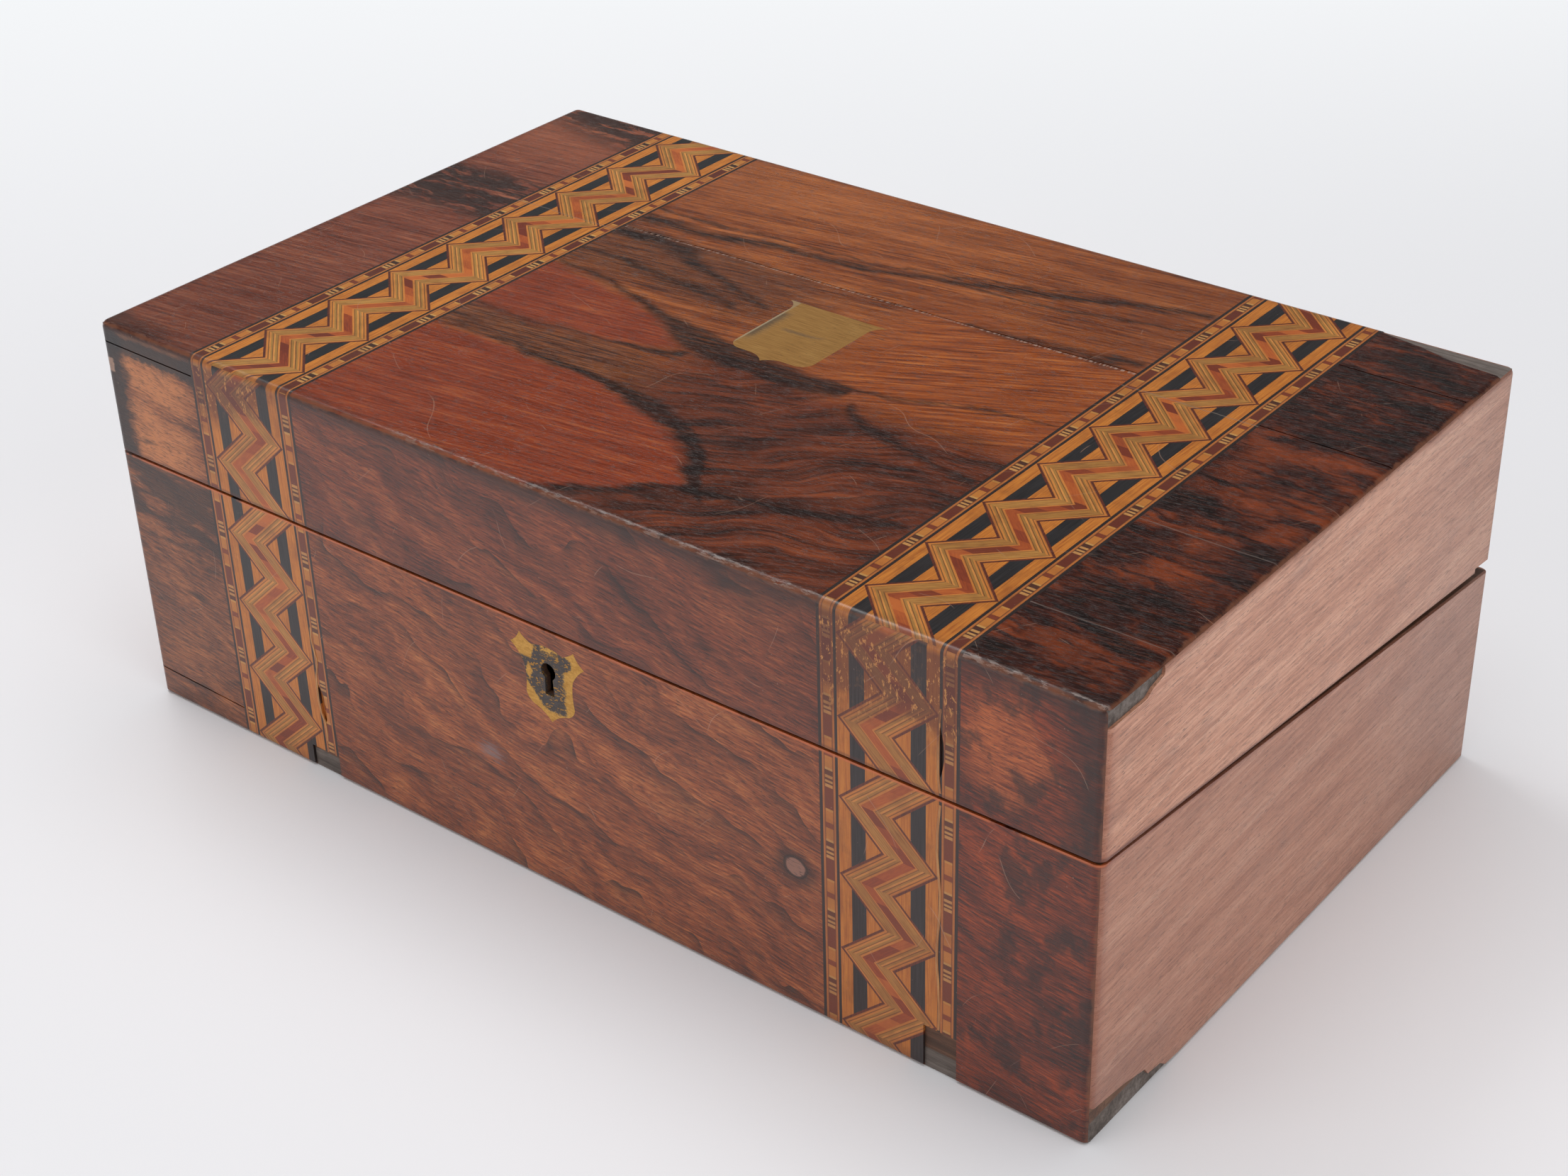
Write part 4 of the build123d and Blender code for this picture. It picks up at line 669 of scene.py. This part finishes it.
def cartouche_brass():
    """The lid's plate: even old brass with a shadowy left edge and a painted highlight along it, smudges and fine
    scratches.
    """
    g = Graph("cartouche_brass")
    x = g.x - 2
    v = g.v - 128
    brush = g.noise(g.x / 9, g.v / 0.45, 0.0, 3)
    spots = g.noise(g.x / 2.0, g.v / 0.5, 3.0, 4, 0.65)
    base = g.ramp(brush, (0.3, (170, 120, 58)), (0.5, (194, 142, 74)), (0.7, (212, 162, 92)))
    shadow = g.step(x + (spots - 0.5) * 5, -10.5, -15.0) * g.step(v, 14, 8) * g.step(v, -16, -8)
    smudge = g.streak(x, v + (spots - 0.5) * 3, 1.0, (-9, 0, 0.4), (-3, 0, 0.9), (4, 0.4, 0.7), (8, 3, 0.2))
    flecks = g.step(spots, 0.58, 0.68) * g.step(x, -8, 6) * 0.6
    mark = g.biggest(shadow * 0.85, smudge * 0.75, flecks)
    # A painted highlight: a thin whitish line down the plate's left edge.
    rim = g.step(x, -15.2, -15.8)
    colour = g.mix(mark, base, (74, 62, 48))
    colour = g.mix(rim * 0.5, colour, (206, 186, 150))
    return g.finish(colour, 0.38 + mark * 0.2, brush, 0.02, metallic=0.7 - mark * 0.4)


def escutcheon_brass():
    """The keyhole shield: brass at the ears, right edge and foot, the rest gone dark grey."""
    g = Graph("escutcheon_brass")
    x, z = g.x, g.z - KEYHOLE_HEIGHT
    spots = g.noise(x / 1.6, g.y, z / 0.7, 4, 0.7)
    torn = (g.noise(x / 0.8, g.y, z / 0.5, 3, 0.7) - 0.5) * 5
    limit = 6.4 + g.step(z, 1, 5) * 3.6 - g.step(z, 6.5, 9) * 3.0
    dark = g.step(x + torn - limit, 0.6, -0.6) * g.step(z + torn, -15.2, -13.8)
    foot = g.step(z + 6 + (x + 10) * 1.1 + torn, 0.6, -0.6)
    ear = g.step(x + 6.8 - (z - 3) * 0.3 + torn * 0.5, 0.5, -0.5) * g.step(z, 2, 3)
    patch = g.step(g.math("ABSOLUTE", x + 8.3) + g.math("ABSOLUTE", z + 2.6) * 0.5 + torn * 0.6, 1.9, 1.2)
    crest = g.step(g.math("ABSOLUTE", x - 1), 4.2, 3.2) * g.step(z + torn * 0.6, 6.0, 6.8) * (spots > 0.5)
    dark = dark * (1 - g.biggest(foot, ear, patch, crest))
    dark = g.biggest(dark * g.step(spots, 0.40, 0.44), g.step(spots, 0.66, 0.72) * 0.8)
    base = g.ramp(spots, (0.3, (170, 120, 52)), (0.7, (214, 166, 86)))
    colour = g.mix(dark, base, g.ramp(spots, (0.35, (52, 48, 47)), (0.7, (88, 80, 78))))
    return g.finish(colour, 0.4 + dark * 0.2, spots, 0.05, metallic=0.75 - dark * 0.5)


def steel():
    g = Graph("old_steel")
    spots = g.noise(g.x / 1.5, g.y / 1.5, g.z / 1.5, 4, 0.65)
    colour = g.ramp(spots, (0.4, (96, 92, 88)), (0.6, (72, 60, 52)), (0.72, (88, 56, 38)))
    return g.finish(colour, 0.42, spots, 0.04, metallic=0.85)


def glass():
    g = Graph("ink_glass")
    swirl = g.noise(g.x / 9, g.y / 9, g.z / 5, 2)
    colour = g.mix(swirl * 0.3, (226, 238, 232), (205, 226, 218))
    return g.finish(colour, 0.04, swirl, 0.1, **{"Transmission Weight": 0.92, "IOR": 1.5})


def leather(node):
    """Dark green skiver with a worn grain and a gilt line near the border of the named piece."""
    g = Graph(node)
    cells = g.nodes.new("ShaderNodeTexVoronoi")
    cells.feature = "DISTANCE_TO_EDGE"
    cells.inputs["Scale"].default_value = 900
    g.links.new(g.nodes[0].outputs["Object"], cells.inputs["Vector"])
    pebble = g.step(Num(g, cells.outputs["Distance"]), 0.0, 0.25)
    wear = g.noise(g.x / 35, g.y / 35, g.z / 35, 4, 0.6)
    colour = g.ramp(wear, (0.35, (28, 48, 36)), (0.55, (40, 66, 48)), (0.7, (66, 84, 60)))
    low, high = [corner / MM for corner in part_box(node)]
    half_x = (high.x - low.x) / 2
    inset = g.smallest(half_x - g.math("ABSOLUTE", g.x), g.y - low.y, high.y - g.y)
    lines = g.biggest(g.step(g.math("ABSOLUTE", inset - 7), 0.5, 0.3), g.step(g.math("ABSOLUTE", inset - 9.4), 0.25, 0.1))
    gilt = lines * g.step(g.noise(g.x / 3, g.y / 3, g.z / 3, 3), 0.30, 0.42)
    colour = g.mix(gilt, colour, (190, 150, 74))
    return g.finish(colour, 0.55 - gilt * 0.2, pebble, 0.05, metallic=gilt * 0.7)


WALNUT_TOP = top_veneer()
WALNUT_FRONT = front_veneer()
SIDES = side_veneer()
BOARD_X = plain_wood("board_along", (66, 42, 28), (98, 64, 44), (124, 88, 62), 0.6)
BOARD_Y = plain_wood("board_across", (66, 42, 28), (98, 64, 44), (124, 88, 62), 0.6, "y")
BARE = plain_wood("bare_board", (70, 60, 54), (104, 93, 86), (134, 123, 116), 0.75, top_darkening=0.0)
MAHOGANY = plain_wood("mahogany", (70, 28, 18), (104, 46, 28), (128, 62, 38), 0.36, coat=0.1)
BRASS = brass("hinge_brass", (178, 140, 70), (96, 74, 44), 0.25)
LOCK_BRASS = brass("lock_brass", (170, 134, 70), (88, 70, 46), 0.35)
STEEL = steel()
GLASS = glass()
INLAY = {
    "zigzag_olive": zigzag_olive(),
    "zigzag_red": zigzag_red(),
    "zigzag_outlines": plain_strip("zigzag_outlines", (62, 23, 14), (104, 43, 25), tint=0.3),
    "band_lines": plain_strip("band_lines", (20, 15, 14), (46, 34, 30), tint=0.1),
    "band_orange": plain_strip("band_orange", (174, 96, 30), (216, 136, 50)),
    "band_black": plain_strip("band_black", (12, 12, 14), (40, 39, 40), tint=0.1),
    "band_chequers": chequers(),
}
OWN = {
    "lid_top_veneers": WALNUT_TOP,
    "lid_front_veneers": WALNUT_FRONT,
    "base_front_veneers": WALNUT_FRONT,
    "lid_top_board": BARE,
    "base_bottom_board": BARE,
    "cartouche": cartouche_brass(),
    "escutcheon": escutcheon_brass(),
    "hinge_pins": STEEL,
    "lock_bolt": STEEL,
    "lock_case": LOCK_BRASS,
    "link_plate": LOCK_BRASS,
    "inkwells": GLASS,
    "inkwell_collars": BRASS,
    "inkwell_cap_left": BRASS,
    "inkwell_cap_right": BRASS,
    "tray_divider": MAHOGANY,
    "pen_tray": MAHOGANY,
    "inkwell_boxes": MAHOGANY,
}


def material_for(node):
    """The material of a CAD node, by its name."""
    if node in OWN:
        return OWN[node]
    kind = node.split("_", 1)[1]
    if kind in INLAY:
        return INLAY[kind]
    if "veneer" in node:
        return SIDES
    if "hinge" in node:
        return BRASS
    if "leather" in node:
        return leather(node)
    if "flap_board" in node or "ledges" in node:
        return MAHOGANY
    if "left_board" in node or "right_board" in node:
        return BOARD_Y
    return BOARD_X


for name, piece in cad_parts.items():
    piece.data.materials.clear()
    piece.data.materials.append(material_for(name))


# Screws and the inlay that has lifted


HEAD_PROUD = 0.16
HEAD_SUNK = 0.3
SCREW_BRASS = brass("screw_brass", (168, 132, 70), (74, 58, 38), 0.5, 0.38)


# Much darker, rougher brass for the floor of each screw's slot.
DARK_SLOT_FLOOR = brass("screw_slot", (52, 42, 28), (26, 20, 14), 0.6, 0.6)


def as_piece(name, shape, material, body, smooth=False):
    """Makes a bmesh into a piece that moves with a body."""
    mesh = bpy.data.meshes.new(name)
    mesh.materials.append(material)
    shape.to_mesh(mesh)
    shape.free()
    for face in mesh.polygons:
        face.use_smooth = smooth
    piece = bpy.data.objects.new(name, mesh)
    bpy.context.scene.collection.objects.link(piece)
    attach(piece, body)
    return piece


def screw_head(name, node, body, x, y, radius, upward=True):
    """A slotted screw head, sunk in the face of a node that the given place looks at."""
    rise = 1 if upward else -1
    hit, place, normal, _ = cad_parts[node].ray_cast(Vector((x, y, 400 * rise)) * MM, Vector((0, 0, -rise)))
    if not hit:
        raise ValueError(f"no face of {node} for {name}")
    shape = bmesh.new()
    bmesh.ops.create_cone(shape, cap_ends=True, segments=40, radius1=radius, radius2=radius, depth=HEAD_SUNK)
    bmesh.ops.translate(shape, verts=shape.verts, vec=(0, 0, 0.02 - HEAD_SUNK / 2))
    for face in shape.faces:
        face.material_index = 1
    slot = radius * 0.13
    start = math.asin(slot / radius)
    for half in (0, math.pi):
        angles = [half + start + (math.pi - 2 * start) * i / 18 for i in range(19)]
        rim = [shape.verts.new((radius * math.cos(a), radius * math.sin(a), -HEAD_SUNK)) for a in angles]
        face = shape.faces.new(rim)
        grown = bmesh.ops.extrude_face_region(shape, geom=[face])["geom"]
        tops = [part for part in grown if isinstance(part, bmesh.types.BMVert)]
        bmesh.ops.translate(shape, verts=tops, vec=(0, 0, HEAD_SUNK + HEAD_PROUD))
        edges = [edge for edge in shape.edges if all(end in tops for end in edge.verts)]
        bmesh.ops.bevel(shape, geom=edges, offset=0.07, segments=2, affect="EDGES")
    bmesh.ops.recalc_face_normals(shape, faces=shape.faces)
    bmesh.ops.scale(shape, verts=shape.verts, vec=(MM, MM, MM))
    head = as_piece(name, shape, SCREW_BRASS, body)
    head.data.materials.append(DARK_SLOT_FLOOR)
    turn = (x * 1.7 + y * 2.3) % math.pi
    head.rotation_euler = (normal.to_track_quat("Z", "Y").to_matrix() @ Matrix.Rotation(turn, 3, "Z")).to_euler()
    head.location = place


def hinge_and_lock_screws():
    """Three screws in each main hinge leaf, two in each small one and at each end of the lock."""
    for hinge_x, side in ((-138, "left"), (138, "right")):
        for offset, which in ((-9, "outer"), (0, "middle"), (9, "inner")):
            for body, upward in (("base", True), ("lid", False)):
                name = f"{body}_{side}_hinge_screw_{which}"
                screw_head(name, f"{body}_hinge_leaves", body, hinge_x + offset, BACK - 5.7, 2.4, upward)
    for x, side in ((-1, "left"), (1, "right")):
        screw_head(f"lock_screw_{side}", "lock_case", "base", 28 * x, -114.8, 2.2)
        screw_head(f"link_plate_screw_{side}", "link_plate", "lid", 24 * x, -114.8, 2.2, False)
    for hinge_x, side in ((-118, "left"), (118, "right")):
        for offset, which in ((-6, "outer"), (6, "inner")):
            for body, upward in (("base", True), ("lid", False)):
                x = hinge_x + offset
                end = f"{side}_{which}"
                screw_head(f"{body}_flap_leaf_screw_{end}", f"{body}_flap_hinge_leaves", f"{body}_flap", x, 93.2, 1.5, upward)
                screw_head(f"{body}_flap_plate_screw_{end}", f"{body}_flap_hinge_plates", body, x, 101.8, 1.5, upward)


def smooth_path(points, steps):
    """More points on the smooth line that passes through the given ones."""
    line = [points[0], *points, points[-1]]
    path = []
    for before, start, end, after in zip(line, line[1:], line[2:], line[3:]):
        for i in range(steps):
            t = i / steps
            path.append([
                b + 0.5 * t * (c - a + t * (2 * a - 5 * b + 4 * c - d + t * (3 * b - a - 3 * c + d)))
                for a, b, c, d in zip(before, start, end, after)
            ])
    return [*path, points[-1]]


def lifted_string(name, body, points):
    """A light inlaid string that has sprung out of its groove, standing proud where it bulges."""
    path = smooth_path(points, 4)
    shape = bmesh.new()
    last = None
    for i, (x, z) in enumerate(path):
        t = i / (len(path) - 1)
        proud = 0.06 + 0.24 * math.sin(math.pi * t) * (0.7 + 0.3 * math.sin(9 * t))
        ring = [
            shape.verts.new((x + half, FRONT - out, z))
            for half, out in ((-0.42, -0.3), (-0.42, proud - 0.08), (-0.3, proud), (0.3, proud), (0.42, proud - 0.08), (0.42, -0.3))
        ]
        if last:
            for j in range(6):
                shape.faces.new((last[j], last[(j + 1) % 6], ring[(j + 1) % 6], ring[j]))
        else:
            shape.faces.new(ring)
        last = ring
    shape.faces.new(last)
    bmesh.ops.recalc_face_normals(shape, faces=shape.faces)
    bmesh.ops.scale(shape, verts=shape.verts, vec=(MM, MM, MM))
    as_piece(name, shape, STRING, body)


STRING = plain_strip("lifted_string", (150, 92, 46), (214, 160, 94))
hinge_and_lock_screws()
lifted_string("lifted_string_left", "base", (
    (-111.3, 60), (-111.7, 56), (-111.3, 52), (-110.5, 48), (-110.8, 44), (-111.7, 40.5), (-112.2, 36.5),
    (-112.4, 31), (-111.7, 25), (-110.5, 21.4), (-110.3, 17.6), (-110.7, 13.7),
))
lifted_string("lifted_string_right", "base", (
    (147.9, 98), (147.2, 90), (147.0, 82), (147.6, 74), (148.2, 66), (147.9, 58), (147.3, 50), (147.2, 42),
    (147.8, 34), (148.1, 26), (147.9, 17),
))
lifted_string("lifted_string_lid", "lid", (
    (147.8, 130), (147.5, 126), (147.2, 121), (147.1, 114), (147.2, 108), (147.6, 104), (147.9, 102),
))


# Floor, light and camera


def stage():
    """A pale floor that lightens towards the back, like the photograph's sweep."""
    bpy.ops.mesh.primitive_plane_add(size=FLOOR_SIZE, location=(0, 0, 0))
    floor = bpy.context.object
    floor.name = "floor"
    g = Graph("floor_paper")
    shader = g.nodes.new("ShaderNodeBsdfDiffuse")
    shader.inputs[0].default_value = srgb(240, 239, 241)
    glow = g.nodes.new("ShaderNodeEmission")
    glow.inputs[0].default_value = srgb(*BACKDROP)
    path = g.nodes.new("ShaderNodeLightPath")
    seen = g.biggest(*[Num(g, path.outputs[f"Is {kind} Ray"]) for kind in ("Camera", "Glossy", "Transmission")])
    far = g.step(g.y * 0.8 - g.x * 0.62, 250, 1000)
    around = g.step(g.math("SQRT", g.x * g.x + g.y * g.y), 1100, 2600)
    blend = g.nodes.new("ShaderNodeMixShader")
    g.put(blend.inputs[0], g.biggest(far * seen, around * Num(g, path.outputs["Is Camera Ray"])))
    g.links.new(shader.outputs[0], blend.inputs[1])
    g.links.new(glow.outputs[0], blend.inputs[2])
    out = g.nodes.new("ShaderNodeOutputMaterial")
    g.links.new(blend.outputs[0], out.inputs[0])
    floor.data.materials.append(g.material)


def area_light(name, place, size, power):
    """A soft square light that looks at the box."""
    data = bpy.data.lights.new(name, "AREA")
    data.energy = power
    data.size = size
    light = bpy.data.objects.new(name, data)
    light.location = place
    direction = -light.location
    direction.z += 0.08
    light.rotation_euler = direction.to_track_quat("-Z", "Y").to_euler()
    bpy.context.scene.collection.objects.link(light)


def studio():
    """The room: bright near the horizon and overhead, dim between them."""
    world = bpy.data.worlds.new("studio")
    world.use_nodes = True
    nodes = world.node_tree.nodes
    links = world.node_tree.links
    split = nodes.new("ShaderNodeSeparateXYZ")
    links.new(nodes.new("ShaderNodeTexCoord").outputs["Generated"], split.inputs[0])
    ramp = nodes.new("ShaderNodeValToRGB")
    stops = ramp.color_ramp.elements
    levels = ((0.0, 0.5), (0.14, 0.5), (0.30, 0.05), (0.72, 0.07), (0.88, 1.08))
    while len(stops) < len(levels):
        stops.new(1.0)
    for stop, (height, level) in zip(stops, levels):
        stop.position = height
        stop.color = (level * 0.97, level * 0.985, level, 1)
    links.new(split.outputs[2], ramp.inputs[0])
    links.new(ramp.outputs[0], nodes["Background"].inputs[0])
    nodes["Background"].inputs[1].default_value = WORLD_STRENGTH
    plain = nodes.new("ShaderNodeBackground")
    plain.inputs[0].default_value = srgb(*BACKDROP)
    blend = nodes.new("ShaderNodeMixShader")
    links.new(nodes.new("ShaderNodeLightPath").outputs["Is Camera Ray"], blend.inputs[0])
    links.new(nodes["Background"].outputs[0], blend.inputs[1])
    links.new(plain.outputs[0], blend.inputs[2])
    links.new(blend.outputs[0], nodes["World Output"].inputs[0])
    bpy.context.scene.world = world


def camera():
    """The photograph's view, from the fit of the box's edges."""
    data = bpy.data.cameras.new("photo_camera")
    data.lens = 59.25
    data.sensor_width = 36.0
    camera = bpy.data.objects.new("photo_camera", data)
    right = (0.78561165, 0.61821132, -0.02508196)
    up = (-0.30473937, 0.42190122, 0.85389301)
    back = (0.53846843, -0.66318483, 0.51984384)
    camera.matrix_world = Matrix.Translation((0.4786, -0.5932, 0.5197)) @ Matrix((right, up, back)).transposed().to_4x4()
    bpy.context.scene.collection.objects.link(camera)
    bpy.context.scene.camera = camera


WORLD_STRENGTH = 1.5
BACKDROP = (246, 248, 250)
FLOOR_SIZE = 40.0

stage()
area_light("key", (-1.2, 0.3, 2.0), 0.9, 10)
area_light("fill", (1.9, -0.3, 0.9), 1.6, 11)
area_light("front", (-0.6, -2.0, 1.0), 1.8, 11)
camera()

studio()
bpy.context.scene.view_settings.view_transform = "Standard"
